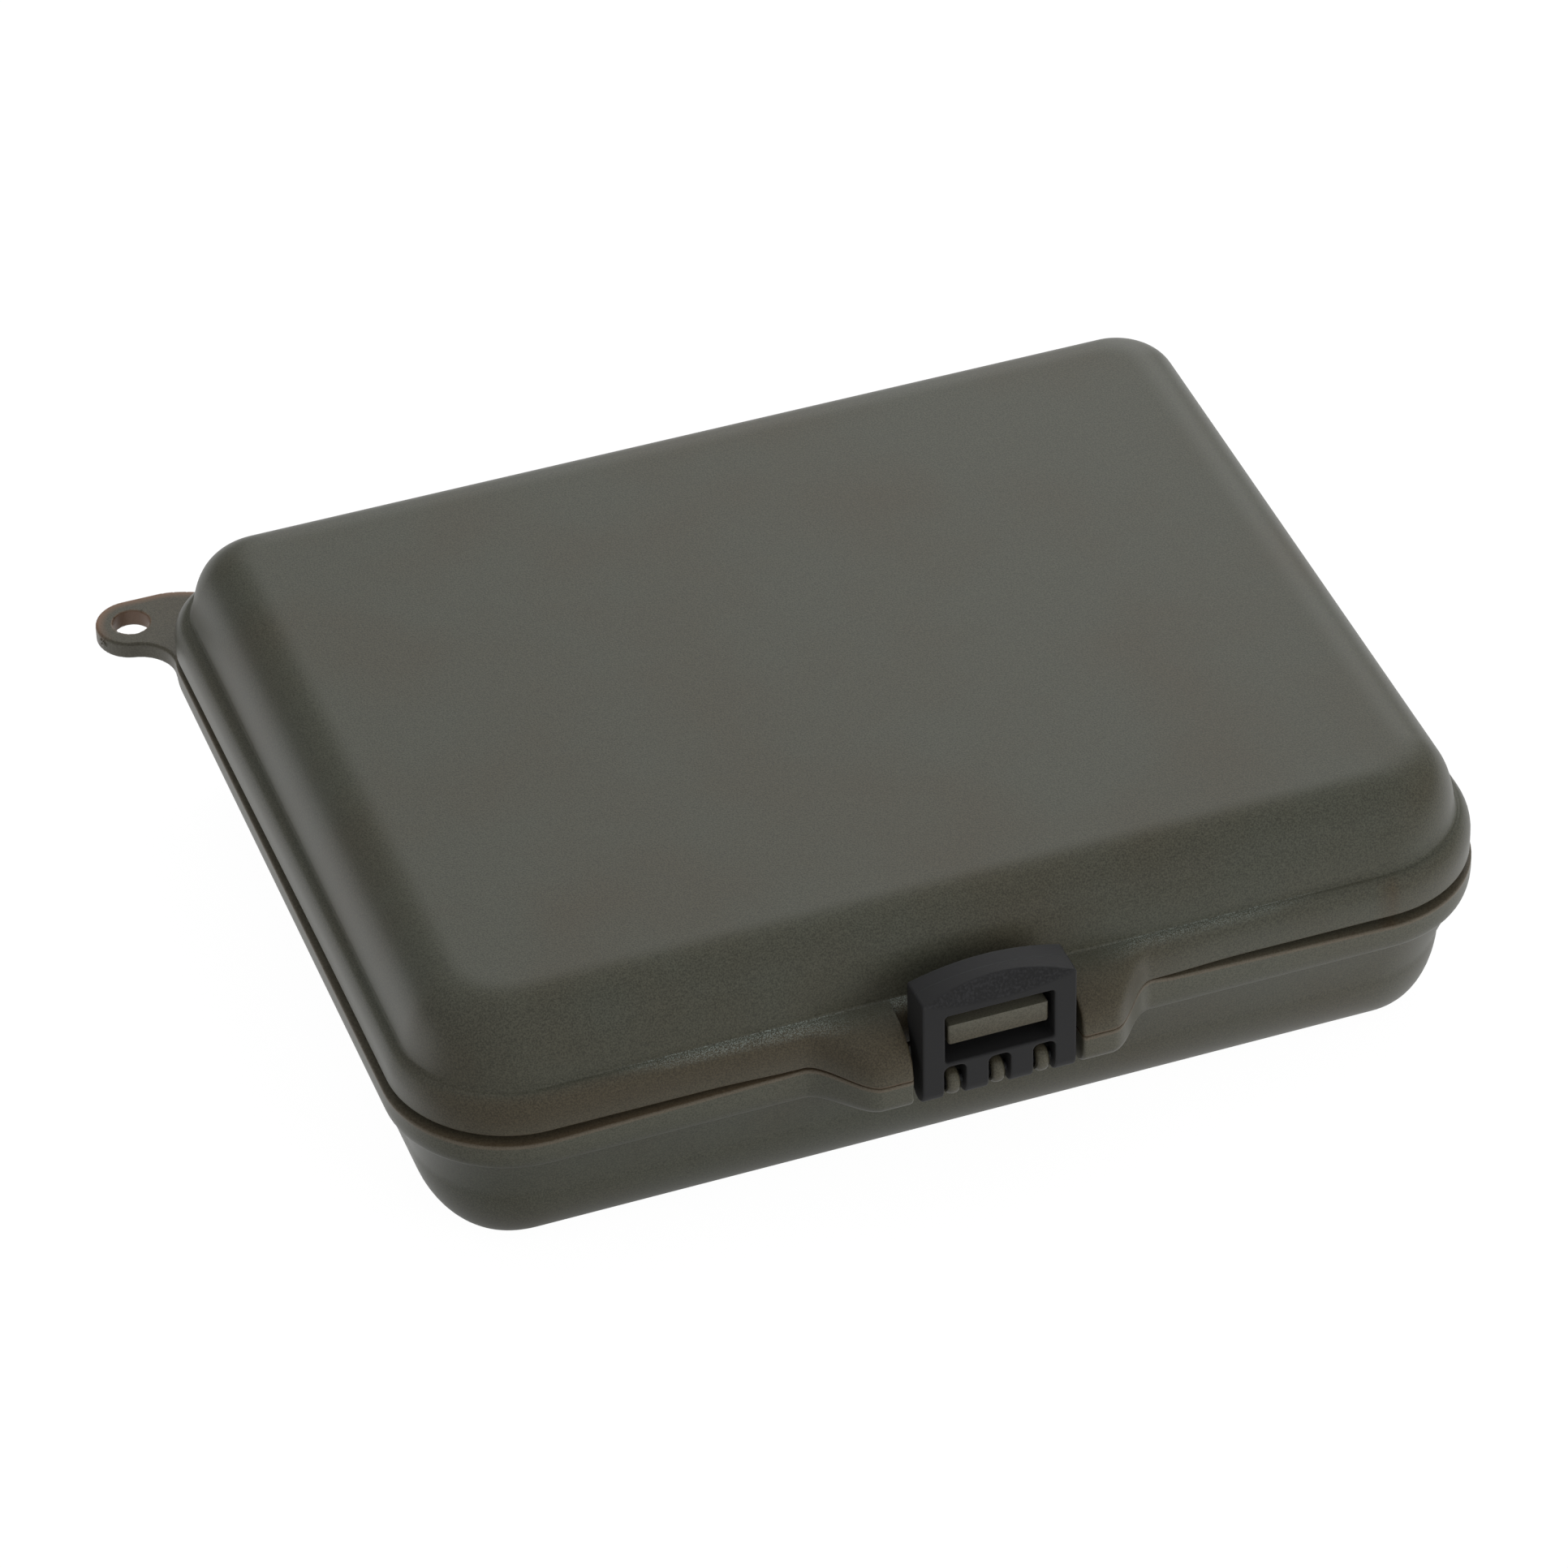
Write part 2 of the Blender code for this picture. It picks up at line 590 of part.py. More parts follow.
def build_catch_bar(lid, cutters):
    """The bar runs from inside the lid's wall out through the latch's window."""
    root = -HALF_DEPTH + CREASE_INSET + WALL / 2
    front = -HALF_DEPTH - CATCH_REACH
    edge = CATCH_EDGE
    top, bottom = PARTING_Z + CATCH_TOP, PARTING_Z + CATCH_BOTTOM
    points = [(root, bottom), (root, top), (front + edge, top), (front, top - edge)]
    points += [(front, bottom + edge), (front + edge, bottom)]
    bar = extruded_outline("catch_bar", points, side_frame(0), 2 * CATCH_HALF_WIDTH, cutters)
    combine(lid, bar, "UNION")


def latch_side_points():
    """Side outline of the latch: round barrel, deepening back, and a level top."""
    axis_y, axis_z = LATCH_AXIS.y, LATCH_AXIS.z
    back = axis_y + LATCH_BACK_DEPTH
    top = PARTING_Z + LATCH_TOP_HEIGHT
    window_middle = PARTING_Z + (WINDOW_BOTTOM + WINDOW_TOP) / 2
    points = arc(axis_y, axis_z, LATCH_BARREL_RADIUS, 180, 360)
    waist = blend(axis_y + LATCH_BARREL_RADIUS, back, LATCH_WAIST_SHARE)
    points.append((waist, PARTING_Z + WINDOW_BOTTOM))
    points.append((back, window_middle))
    points.append((back, top - LATCH_TOP_EDGE))
    points.append((back - LATCH_TOP_EDGE, top))
    points.append((LATCH_FRONT_Y + LATCH_TOP_EDGE, top))
    points.append((LATCH_FRONT_Y, top - LATCH_TOP_EDGE))
    return points


def arch_radius(half_chord, rise):
    return (half_chord**2 + rise**2) / (2 * rise)


def cut_window(latch, cutters):
    """The window is lower at the back, which leaves a hook that lies over the catch bar."""
    hook_y = LATCH_AXIS.y + LATCH_BACK_DEPTH - HOOK_DEPTH
    bottom = PARTING_Z + WINDOW_BOTTOM
    front_low = (-WINDOW_HALF_WIDTH, LATCH_FRONT_Y - OVERRUN, bottom)
    front_high = (WINDOW_HALF_WIDTH, hook_y, PARTING_Z + WINDOW_TOP)
    combine(latch, box("window_front", front_low, front_high, cutters), "DIFFERENCE")
    back_low = (-WINDOW_HALF_WIDTH, LATCH_FRONT_Y - OVERRUN, bottom)
    back_high = (WINDOW_HALF_WIDTH, -HALF_DEPTH, PARTING_Z + CATCH_TOP + HOOK_CLEARANCE)
    combine(latch, box("window_back", back_low, back_high, cutters), "DIFFERENCE")


def cut_slots(latch, cutters):
    half = KNUCKLE_WIDTH / 2 + KNUCKLE_SIDE_CLEARANCE
    low_z = LATCH_AXIS.z - LATCH_BARREL_RADIUS - OVERRUN
    high_z = PARTING_Z + WINDOW_BOTTOM - CROSSBAR_HEIGHT
    for side in KNUCKLE_SIDES:
        middle = side * KNUCKLE_PITCH
        low = (middle - half, LATCH_FRONT_Y - OVERRUN, low_z)
        high = (middle + half, -HALF_DEPTH, high_z)
        combine(latch, box(f"slot_{side + 1}", low, high, cutters), "DIFFERENCE")


def scoop_frame():
    """A frame on the scoop's slope: x is the world's X, y points out of the slope and z runs down it."""
    rise = LATCH_TOP_HEIGHT - SCOOP_BOTTOM
    down = Vector((0, -SCOOP_TOP_DEPTH, -rise)).normalized()
    across = Vector((1, 0, 0))
    out = down.cross(across)
    turn = Matrix((across, out, down)).transposed().to_4x4()
    return Matrix.Translation((0, LATCH_FRONT_Y, PARTING_Z + SCOOP_BOTTOM)) @ turn


def cut_scoop(latch, cutters):
    """A hollow slope for the thumbnail, cut off the top's front edge and deepest in the middle."""
    radius = arch_radius(SCOOP_HALF_WIDTH, SCOOP_HOLLOW)
    half_angle = math.degrees(math.asin(SCOOP_HALF_WIDTH / radius))
    points = arc(0, radius, radius, 270 - half_angle, 270 + half_angle)
    beyond = SCOOP_HOLLOW + OVERRUN
    points += [(SCOOP_HALF_WIDTH, beyond), (-SCOOP_HALF_WIDTH, beyond)]
    length = 2 * (LATCH_TOP_HEIGHT - SCOOP_BOTTOM + OVERRUN)
    scoop = extruded_outline("scoop", points, scoop_frame(), length, cutters)
    combine(latch, scoop, "DIFFERENCE")


def build_latch(material, parent, collection, cutters):
    latch = extruded_outline(
        "latch", latch_side_points(), side_frame(0), 2 * LATCH_HALF_WIDTH, collection
    )
    radius = arch_radius(LATCH_HALF_WIDTH, LATCH_ARCH_DROP)
    arch_centre = (0, LATCH_AXIS.y, PARTING_Z + LATCH_TOP_HEIGHT - radius)
    length = 2 * (LATCH_BACK_DEPTH + LATCH_BARREL_RADIUS + OVERRUN)
    arch = cylinder("latch_arch", arch_centre, (0, 1, 0), radius, length, cutters, ARCH_SIDES)
    combine(latch, arch, "INTERSECT")
    cut_window(latch, cutters)
    cut_slots(latch, cutters)
    cut_scoop(latch, cutters)
    bore_start = -LATCH_PIN_LENGTH / 2 - PIN_CLEARANCE
    bore_end = LATCH_HALF_WIDTH + OVERRUN
    bore_centre = LATCH_AXIS + Vector(((bore_start + bore_end) / 2, 0, 0))
    bore_radius = LATCH_PIN_RADIUS + PIN_CLEARANCE
    bore = cylinder("latch_bore", bore_centre, (1, 0, 0), bore_radius, bore_end - bore_start, cutters)
    combine(latch, bore, "DIFFERENCE")
    finish(latch, material, origin=LATCH_AXIS, parent=parent)


def build_case():
    clear_scene()
    collection = new_collection("waterproof_hard_case")
    cutters = new_collection("cutters_and_joined_shapes")
    olive = new_material("olive_plastic", OLIVE, roughness=0.5)
    black = new_material("latch_plastic", LATCH_BLACK, roughness=0.55)
    rubber = new_material("seal_rubber", RUBBER_BLACK, roughness=0.8)
    steel = new_material("pin_steel", STEEL_GREY, roughness=0.3, metallic=1.0)
    case = new_empty("case", (0, 0, 0), collection)
    lid_hinge = new_empty("lid_hinge", LID_AXIS, collection, case)
    latch_hinge = new_empty("latch_hinge", LATCH_AXIS, collection, case)
    base = loft("base_shell", base_levels(), collection)
    lid = loft("lid_shell", lid_levels(), collection)
    build_ear(base, cutters)
    build_front_knuckles(base, cutters)
    build_catch_bar(lid, cutters)
    for side in HINGE_SIDES:
        build_hinge(side, base, lid, steel, case, collection, cutters)
    build_latch(black, latch_hinge, collection, cutters)
    seal = loft("seal_ring", seal_levels(), collection, closed=True)
    latch_pin = cylinder(
        "latch_pin", LATCH_AXIS, (1, 0, 0), LATCH_PIN_RADIUS, LATCH_PIN_LENGTH, collection
    )
    finish(latch_pin, steel, origin=LATCH_AXIS, parent=case)
    finish(base, olive, parent=case)
    finish(lid, olive, origin=LID_AXIS, parent=lid_hinge)
    finish(seal, rubber, origin=LID_AXIS, parent=lid_hinge)


build_case()
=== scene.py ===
# %% [markdown]
# # A waterproof hard case, dressed in Blender
#
# The case is a shallow moulded tub with a hinged lid, a rubber seal, a black snap latch and a lanyard ear.
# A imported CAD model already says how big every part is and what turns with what. This lesson loads that
# model as a fixed frame and builds the fine surface of each part over it: soft rounds, moulded edges, and
# materials with the grain of real plastic. Heights are given from the parting plane, where the base's rim
# ends.

# %% Load the frame
import math
from collections import namedtuple

import bmesh
import bpy
import numpy as np
from mathutils import Matrix, Vector


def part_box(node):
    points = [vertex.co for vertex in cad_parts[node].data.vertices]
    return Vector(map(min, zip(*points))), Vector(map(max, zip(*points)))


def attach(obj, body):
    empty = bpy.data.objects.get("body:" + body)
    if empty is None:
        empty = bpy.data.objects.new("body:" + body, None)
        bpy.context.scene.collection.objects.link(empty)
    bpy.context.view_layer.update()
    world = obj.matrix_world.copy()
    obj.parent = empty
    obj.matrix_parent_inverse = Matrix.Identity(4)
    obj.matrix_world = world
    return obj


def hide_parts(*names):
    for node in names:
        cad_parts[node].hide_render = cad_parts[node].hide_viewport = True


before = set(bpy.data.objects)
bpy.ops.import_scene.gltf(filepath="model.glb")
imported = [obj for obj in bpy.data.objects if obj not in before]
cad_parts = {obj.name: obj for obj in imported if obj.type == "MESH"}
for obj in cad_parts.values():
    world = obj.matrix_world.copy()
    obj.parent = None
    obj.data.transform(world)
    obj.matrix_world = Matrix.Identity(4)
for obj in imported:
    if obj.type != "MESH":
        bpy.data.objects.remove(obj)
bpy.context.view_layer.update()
MM = 0.001

# %% [markdown]
# ## Sizes
#
# The outer sizes, the hinge axes and the latch's place are read from the frame, so the looks can't drift
# away from it. The sizes of the mouldings themselves, such as walls, rounds and clearances, are those of
# the CAD source, written once here with plain names.

# %% Sizes of the rim and of the two shells
TONGUE_HEIGHT = 2.4 * MM
SKIRT_WALL = 2.0 * MM
TONGUE_CLEARANCE = 0.4 * MM
TONGUE_WALL = 1.6 * MM
SEAL_CLEARANCE = 0.3 * MM
LIP_WALL = 1.6 * MM
WALL = 2.0 * MM
RIM_CORNER_RADIUS = 17.6 * MM
REAR_CORNER_SHARE = 0.68

HALF_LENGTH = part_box("lid_shell")[1].x
HALF_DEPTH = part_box("seal_ring")[1].y + SKIRT_WALL + SEAL_CLEARANCE
SEAL_BOTTOM = TONGUE_HEIGHT + SEAL_CLEARANCE
PARTING_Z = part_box("seal_ring")[0].z - SEAL_BOTTOM
LID_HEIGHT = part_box("lid_shell")[1].z - PARTING_Z
SEAL_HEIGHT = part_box("seal_ring")[1].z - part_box("seal_ring")[0].z
TONGUE_INSET = SKIRT_WALL + TONGUE_CLEARANCE
CAVITY_INSET = TONGUE_INSET + TONGUE_WALL
CHANNEL_INNER_INSET = CAVITY_INSET + TONGUE_CLEARANCE
LIP_INSET = CHANNEL_INNER_INSET + LIP_WALL
CHANNEL_TOP = SEAL_BOTTOM + SEAL_HEIGHT + SEAL_CLEARANCE


def middle(node_name):
    low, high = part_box(node_name)
    return (low + high) / 2


LATCH_AXIS = Vector((0, middle("latch_pin").y, middle("latch_pin").z))
LID_AXIS = Vector((0, middle("hinge_pin_left").y, middle("hinge_pin_left").z))
HINGE_SPACING = middle("hinge_pin_right").x - middle("hinge_pin_left").x
LATCH_HALF_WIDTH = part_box("latch")[1].x
LATCH_FRONT_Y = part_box("latch")[0].y
LATCH_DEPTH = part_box("latch")[1].y - LATCH_FRONT_Y
LATCH_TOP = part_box("latch")[1].z - PARTING_Z
print("rim in mm:", [round(2 * half / MM, 1) for half in (HALF_LENGTH, HALF_DEPTH)])
print("parting plane in mm:", round(PARTING_Z / MM, 1))

# %% [markdown]
# ## Small helpers
#
# Colours are written as the hex codes that a colour picker shows, and one function turns them into the
# linear values that Blender wants. A second function adds any node to any tree, for materials and geometry
# alike: it sets the node's options, fills its inputs and hands back one output, so that calls can be
# nested. Kinds of node that come up again and again have a short name. The Mix node has a pair of inputs
# for each kind of data, and its colour inputs and output are reached by their numbers.

# %% Colour and node helpers
MATH, VECTOR_MATH, INTEGER_MATH = "ShaderNodeMath", "ShaderNodeVectorMath", "FunctionNodeIntegerMath"
COMBINE, SEPARATE = "ShaderNodeCombineXYZ", "ShaderNodeSeparateXYZ"
MAP_RANGE, MIX = "ShaderNodeMapRange", "ShaderNodeMix"
NOISE, ATTRIBUTE, COORDINATES = "ShaderNodeTexNoise", "ShaderNodeAttribute", "ShaderNodeTexCoord"
COLOUR_A, COLOUR_B, MIXED = 6, 7, 2


def linear(code):
    """An sRGB hex colour as linear red, green, blue and alpha."""
    shares = [int(code[place : place + 2], 16) / 255 for place in (1, 3, 5)]
    return (*(s / 12.92 if s <= 0.04045 else ((s + 0.055) / 1.055) ** 2.4 for s in shares), 1.0)


def node(tree, kind, inputs=None, output=0, **settings):
    """Adds a node, sets its options, gives each input a value or a link, and returns one of its outputs."""
    made = tree.nodes.new(kind)
    for name, value in settings.items():
        setattr(made, name, value)
    for key, value in (inputs or {}).items():
        if isinstance(value, bpy.types.NodeSocket):
            tree.links.new(value, made.inputs[key])
        else:
            made.inputs[key].default_value = value
    return made.outputs[output] if made.outputs else None


def new_material(name):
    """An empty material and its tree, with the shader still to be made."""
    material = bpy.data.materials.new(name)
    material.use_nodes = True
    material.node_tree.nodes.clear()
    return material, material.node_tree


def layered(tree, colour, *layers):
    """A colour with others laid over it, each by its own share."""
    for share, tone in layers:
        inputs = {"Factor": share, COLOUR_A: colour, COLOUR_B: tone}
        colour = node(tree, MIX, inputs, MIXED, data_type="RGBA")
    return colour


def surfaced(material, sockets):
    """Ends a material: one Principled shader with these sockets leads to the output."""
    tree = material.node_tree
    shader = node(tree, "ShaderNodeBsdfPrincipled", sockets)
    node(tree, "ShaderNodeOutputMaterial", {"Surface": shader})
    return material


# %% [markdown]
# ## Olive polypropylene
#
# The shells are injection-moulded polypropylene: a dark, warm olive under a fine spark-eroded texture. The
# grey that the eye sees on the lid is mostly light mirrored softly by the semi-matte surface, so the colour
# underneath is darker and browner than the lid looks. Slow clouds of two near tones keep it from being
# flat, and a fine noise, about a fifth of a millimetre across, gives the texture. Four attributes on the
# mesh's points steer it: "edge" lightens edges, as wear and as a painted highlight, "crease" lays light
# specks on the band below the dome, a painted highlight, a third paints a warm glow where light comes
# through, and "brown" gives the skirt and the rim their browner tone. A painted image could hold all that
# too, but attributes need no unwrapping and stay sharp at any distance.

# %% Make the olive plastic
OLIVE_GREEN = linear("#4c4d42")
OLIVE_BROWN = linear("#4b4435")
# The edge tone is partly wear and partly a painted highlight; the speck tone below it is a painted highlight,
# and the warm tone after that a painted glow.
OLIVE_EDGE = linear("#67665a")
OLIVE_GLINT = linear("#858d86")
OLIVE_GLOW = linear("#8a6a54")
CLOUD_SIZE = 24 * MM
GRAIN_SIZE = 0.22 * MM
GRAIN_DEPTH = 0.03 * MM
SPECK_SIZE = 0.16 * MM


def olive_polypropylene():
    """Semi-matte moulded polypropylene, whose usual IOR is 1.49."""
    material, tree = new_material("olive_polypropylene")
    place = node(tree, COORDINATES, output="Object")
    names = ("edge", "crease", "thin", "brown")
    edge, crease, thin, brown = [node(tree, ATTRIBUTE, output="Fac", attribute_name=name) for name in names]
    cloud = node(tree, NOISE, {"Vector": place, "Scale": 1 / CLOUD_SIZE, "Detail": 3.0}, "Fac")
    grain = node(tree, NOISE, {"Vector": place, "Scale": 1 / GRAIN_SIZE, "Detail": 2.0}, "Fac")
    speck = node(tree, NOISE, {"Vector": place, "Scale": 1 / SPECK_SIZE, "Detail": 1.0}, "Fac")
    shade_range = {"Value": grain, "From Min": 0.35, "From Max": 0.65, "To Min": 0.7, "To Max": 1.3}
    edge_range = {"Value": grain, "From Min": 0.3, "From Max": 0.6, "To Min": 0.3, "To Max": 0.75}
    rough_range = {"Value": grain, "From Min": 0.3, "From Max": 0.7, "To Min": 0.38, "To Max": 0.46}

    clouds = node(tree, MAP_RANGE, {"Value": cloud, "From Min": 0.4, "From Max": 0.75, "To Max": 0.6})
    browned = node(tree, MATH, {0: clouds, 1: brown}, operation="MAXIMUM")
    colour = layered(tree, OLIVE_GREEN, (browned, OLIVE_BROWN))
    inputs = {"Factor": 1.0, COLOUR_A: colour, COLOUR_B: node(tree, MAP_RANGE, shade_range)}
    colour = node(tree, MIX, inputs, MIXED, data_type="RGBA", blend_type="MULTIPLY")
    # Lighter edges: partly wear, partly a painted highlight.
    edge_tone = node(tree, MATH, {0: edge, 1: node(tree, MAP_RANGE, edge_range)}, operation="MULTIPLY")
    # Light specks on the band below the dome: a painted highlight.
    specks = node(tree, MAP_RANGE, {"Value": speck, "From Min": 0.45, "From Max": 0.65})
    glint = node(tree, MATH, {0: crease, 1: specks}, operation="MULTIPLY")
    # The warm tone where light comes through is a painted glow.
    colour = layered(tree, colour, (edge_tone, OLIVE_EDGE), (thin, OLIVE_GLOW), (glint, OLIVE_GLINT))
    rough = node(tree, MAP_RANGE, rough_range)
    bump = node(tree, "ShaderNodeBump", {"Strength": 0.5, "Distance": GRAIN_DEPTH, "Height": grain})
    return surfaced(material, {"Base Color": colour, "Roughness": rough, "IOR": 1.49, "Normal": bump})


olive = olive_polypropylene()
print("made", olive.name)

# %% [markdown]
# ## Black latch plastic, rubber and steel
#
# The latch is moulded acetal, a tough black plastic with a dry, even finish. Its thumb scoop is coarser,
# which the attribute "grip" brings in as a coarser and deeper noise. The seal is soft silicone rubber with
# a dull bloom in patches, and the pins are drawn steel wire with fine lines round them. A flat colour would
# do for things this small, but an opened case is looked at closely.

# %% Make the other materials
LATCH_BLACK = linear("#202021")
LATCH_DUSTY = linear("#262627")
LATCH_WORN = linear("#3c3c3d")
LATCH_SPECK = linear("#303032")
RUBBER_BLACK = linear("#1c1c1c")
RUBBER_BLOOM = linear("#30302f")
STEEL = linear("#6e7072")
STEEL_DULL = linear("#4c4d4f")
GRIP_SIZE = 0.36 * MM
GRIP_DEPTH = 0.2 * MM
BLOOM_SIZE = 3 * MM
RUBBER_GRAIN_DEPTH = 0.01 * MM
STAIN_SIZE = 1.5 * MM
WIRE_LINE = 0.12 * MM


def black_acetal():
    """Dry, even acetal. Its usual IOR is 1.48, raised a little here to match the photograph's sheen."""
    material, tree = new_material("black_acetal")
    place = node(tree, COORDINATES, output="Object")
    edge, grip = [node(tree, ATTRIBUTE, output="Fac", attribute_name=name) for name in ("edge", "grip")]
    grain = node(tree, NOISE, {"Vector": place, "Scale": 1 / GRAIN_SIZE, "Detail": 2.0}, "Fac")
    coarse = node(tree, NOISE, {"Vector": place, "Scale": 1 / GRIP_SIZE, "Detail": 1.0}, "Fac")
    edge_range = {"Value": grain, "From Min": 0.35, "From Max": 0.6, "To Min": 0.2, "To Max": 0.6}
    rough_range = {"Value": grain, "From Min": 0.3, "From Max": 0.7, "To Min": 0.58, "To Max": 0.68}

    dusty = node(tree, MAP_RANGE, {"Value": grain, "From Min": 0.3, "From Max": 0.7})
    edge_tone = node(tree, MATH, {0: edge, 1: node(tree, MAP_RANGE, edge_range)}, operation="MULTIPLY")
    specks = node(tree, MAP_RANGE, {"Value": coarse, "From Min": 0.45, "From Max": 0.68})
    gripped = node(tree, MATH, {0: grip, 1: specks}, operation="MULTIPLY")
    colour = layered(tree, LATCH_BLACK, (dusty, LATCH_DUSTY), (edge_tone, LATCH_WORN), (gripped, LATCH_SPECK))
    rough = node(tree, MAP_RANGE, rough_range)
    height = layered(tree, grain, (grip, coarse))
    depth = node(tree, MAP_RANGE, {"Value": grip, "To Min": GRAIN_DEPTH, "To Max": GRIP_DEPTH})
    bump = node(tree, "ShaderNodeBump", {"Strength": 0.5, "Distance": depth, "Height": height})
    return surfaced(material, {"Base Color": colour, "Roughness": rough, "IOR": 1.52, "Normal": bump})


def silicone_rubber():
    """Dull moulded silicone, whose usual IOR is 1.43."""
    material, tree = new_material("silicone_rubber")
    place = node(tree, COORDINATES, output="Object")
    patch = node(tree, NOISE, {"Vector": place, "Scale": 1 / BLOOM_SIZE, "Detail": 4.0}, "Fac")
    grain = node(tree, NOISE, {"Vector": place, "Scale": 1 / GRAIN_SIZE, "Detail": 2.0}, "Fac")
    bloom = node(tree, MAP_RANGE, {"Value": patch, "From Min": 0.45, "From Max": 0.7})
    colour = layered(tree, RUBBER_BLACK, (bloom, RUBBER_BLOOM))
    rough = node(tree, MAP_RANGE, {"Value": bloom, "To Min": 0.55, "To Max": 0.75})
    bump = node(tree, "ShaderNodeBump", {"Strength": 0.2, "Distance": RUBBER_GRAIN_DEPTH, "Height": grain})
    return surfaced(material, {"Base Color": colour, "Roughness": rough, "IOR": 1.43, "Normal": bump})


def drawn_steel():
    """Steel wire, still bright from the die, with its lines round the wire and a few dull stains."""
    material, tree = new_material("drawn_steel")
    place = node(tree, COORDINATES, output="Object")
    wave = {"Vector": place, "Scale": 1 / WIRE_LINE / math.tau, "Distortion": 2.0, "Detail": 2.0}
    lines = node(tree, "ShaderNodeTexWave", wave, "Fac", bands_direction="X")
    stain = node(tree, NOISE, {"Vector": place, "Scale": 1 / STAIN_SIZE, "Detail": 2.0}, "Fac")
    colour = layered(tree, STEEL, (stain, STEEL_DULL))
    rough = node(tree, MAP_RANGE, {"Value": lines, "To Min": 0.25, "To Max": 0.4})
    return surfaced(material, {"Base Color": colour, "Metallic": 1.0, "Roughness": rough})


black = black_acetal()
rubber = silicone_rubber()
steel = drawn_steel()
print("made", ", ".join(material.name for material in (black, rubber, steel)))

# %% [markdown]
# ## From a node tree to a plain mesh
#
# Geometry Nodes work through a modifier. What is left to clean on such a mesh, such as welding a seam
# or capping a hole, is quicker in bmesh than in nodes.

# %% Geometry node helpers
WELD_DISTANCE = 1e-6
SHARP_DEGREES = 40


def new_tree(name, inputs):
    """A geometry tree with a Geometry input and output and these named inputs, and its two end nodes."""
    tree = bpy.data.node_groups.new(name, "GeometryNodeTree")
    tree.interface.new_socket(name="Geometry", in_out="OUTPUT", socket_type="NodeSocketGeometry")
    tree.interface.new_socket(name="Geometry", in_out="INPUT", socket_type="NodeSocketGeometry")
    for label, kind in inputs.items():
        tree.interface.new_socket(name=label, in_out="INPUT", socket_type=kind)
    return tree, tree.nodes.new("NodeGroupInput").outputs, tree.nodes.new("NodeGroupOutput")


def ended_tree(tree, geometry, given, result):
    """Ends a tree: instances become real, the given material is set, and the result is handed out."""
    geometry = node(tree, "GeometryNodeRealizeInstances", {"Geometry": geometry})
    geometry = node(tree, "GeometryNodeSetMaterial", {"Geometry": geometry, "Material": given["Material"]})
    tree.links.new(geometry, result.inputs[0])
    return tree


def apply_tree(obj, tree, **values):
    """Adds the tree to obj as a modifier; names are the inputs' labels in small letters, with underscores."""
    modifier = obj.modifiers.new(tree.name, "NODES")
    modifier.node_group = tree
    for item in tree.interface.items_tree:
        key = item.name.lower().replace(" ", "_")
        if item.in_out == "INPUT" and key in values:
            modifier[item.identifier] = values[key]


def made_plain(obj):
    """Replaces obj's mesh with its evaluated one and takes the modifiers off."""
    bpy.context.view_layer.update()
    evaluated = obj.evaluated_get(bpy.context.evaluated_depsgraph_get())
    plain = bpy.data.meshes.new_from_object(evaluated)
    obj.modifiers.clear()
    obj.data = plain
    return obj


def new_object(name, mesh):
    obj = bpy.data.objects.new(name, mesh)
    bpy.context.scene.collection.objects.link(obj)
    return obj


def remove(helper):
    bpy.data.objects.remove(helper, do_unlink=True)


def painted(obj, name, rule):
    """Gives each point of obj the attribute's value that rule works out from the point's place."""
    values = [rule(vertex.co) for vertex in obj.data.vertices]
    obj.data.attributes.new(name, "FLOAT", "POINT").data.foreach_set("value", values)


def cleaned(obj, weld=False, cap=False, turn=None):
    """Welds, caps and turns obj's mesh where asked, and points all its faces outwards."""
    bm = bmesh.new()
    bm.from_mesh(obj.data)
    if weld:
        bmesh.ops.remove_doubles(bm, verts=bm.verts, dist=WELD_DISTANCE)
    if cap:
        bmesh.ops.holes_fill(bm, edges=[edge for edge in bm.edges if edge.is_boundary], sides=0)
    if turn:
        bmesh.ops.transform(bm, matrix=turn, verts=bm.verts)
    bmesh.ops.recalc_face_normals(bm, faces=bm.faces)
    bm.to_mesh(obj.data)
    bm.free()
    return obj


def smoothed(obj, sharp_degrees=SHARP_DEGREES):
    """Shades obj smooth, with a sharp edge wherever two faces meet at more than this angle."""
    obj.data.shade_smooth()
    obj.data.set_sharp_from_angle(angle=math.radians(sharp_degrees))
    return obj


# %% [markdown]
# ## One rule for both shells
#
# Tub and lid are both lofts: the same rounded rectangle, drawn again and again at other heights. A ring's
# shape is its height, its inset from the rim, its corner radius, how far the latch's shoulders stand out
# and how far the front of the rim rises. Two more numbers let the lid's foot stand back and its crease fill
# in, and the rest is finish. Stacked curves would need all this at every point of every ring. Here the rim
# line is made once, and each of its points says which share of a ring's numbers it takes.

# %% Points of the rim line
CORNER_STEPS = 20
SIDE_STEP = 3 * MM
CORNER_REACH = 20.5 * MM
BOSS_REACH = 7.4 * MM
BOSS_OUTER_X = 24.8 * MM
BOSS_INNER_X = 16.2 * MM
RECESS_HALF_WIDTH = 11.9 * MM
RECESS_EDGE = 0.5 * MM
RECESS_EDGE_STEPS = 5
RECESS_DRAFT = 0.05 * MM
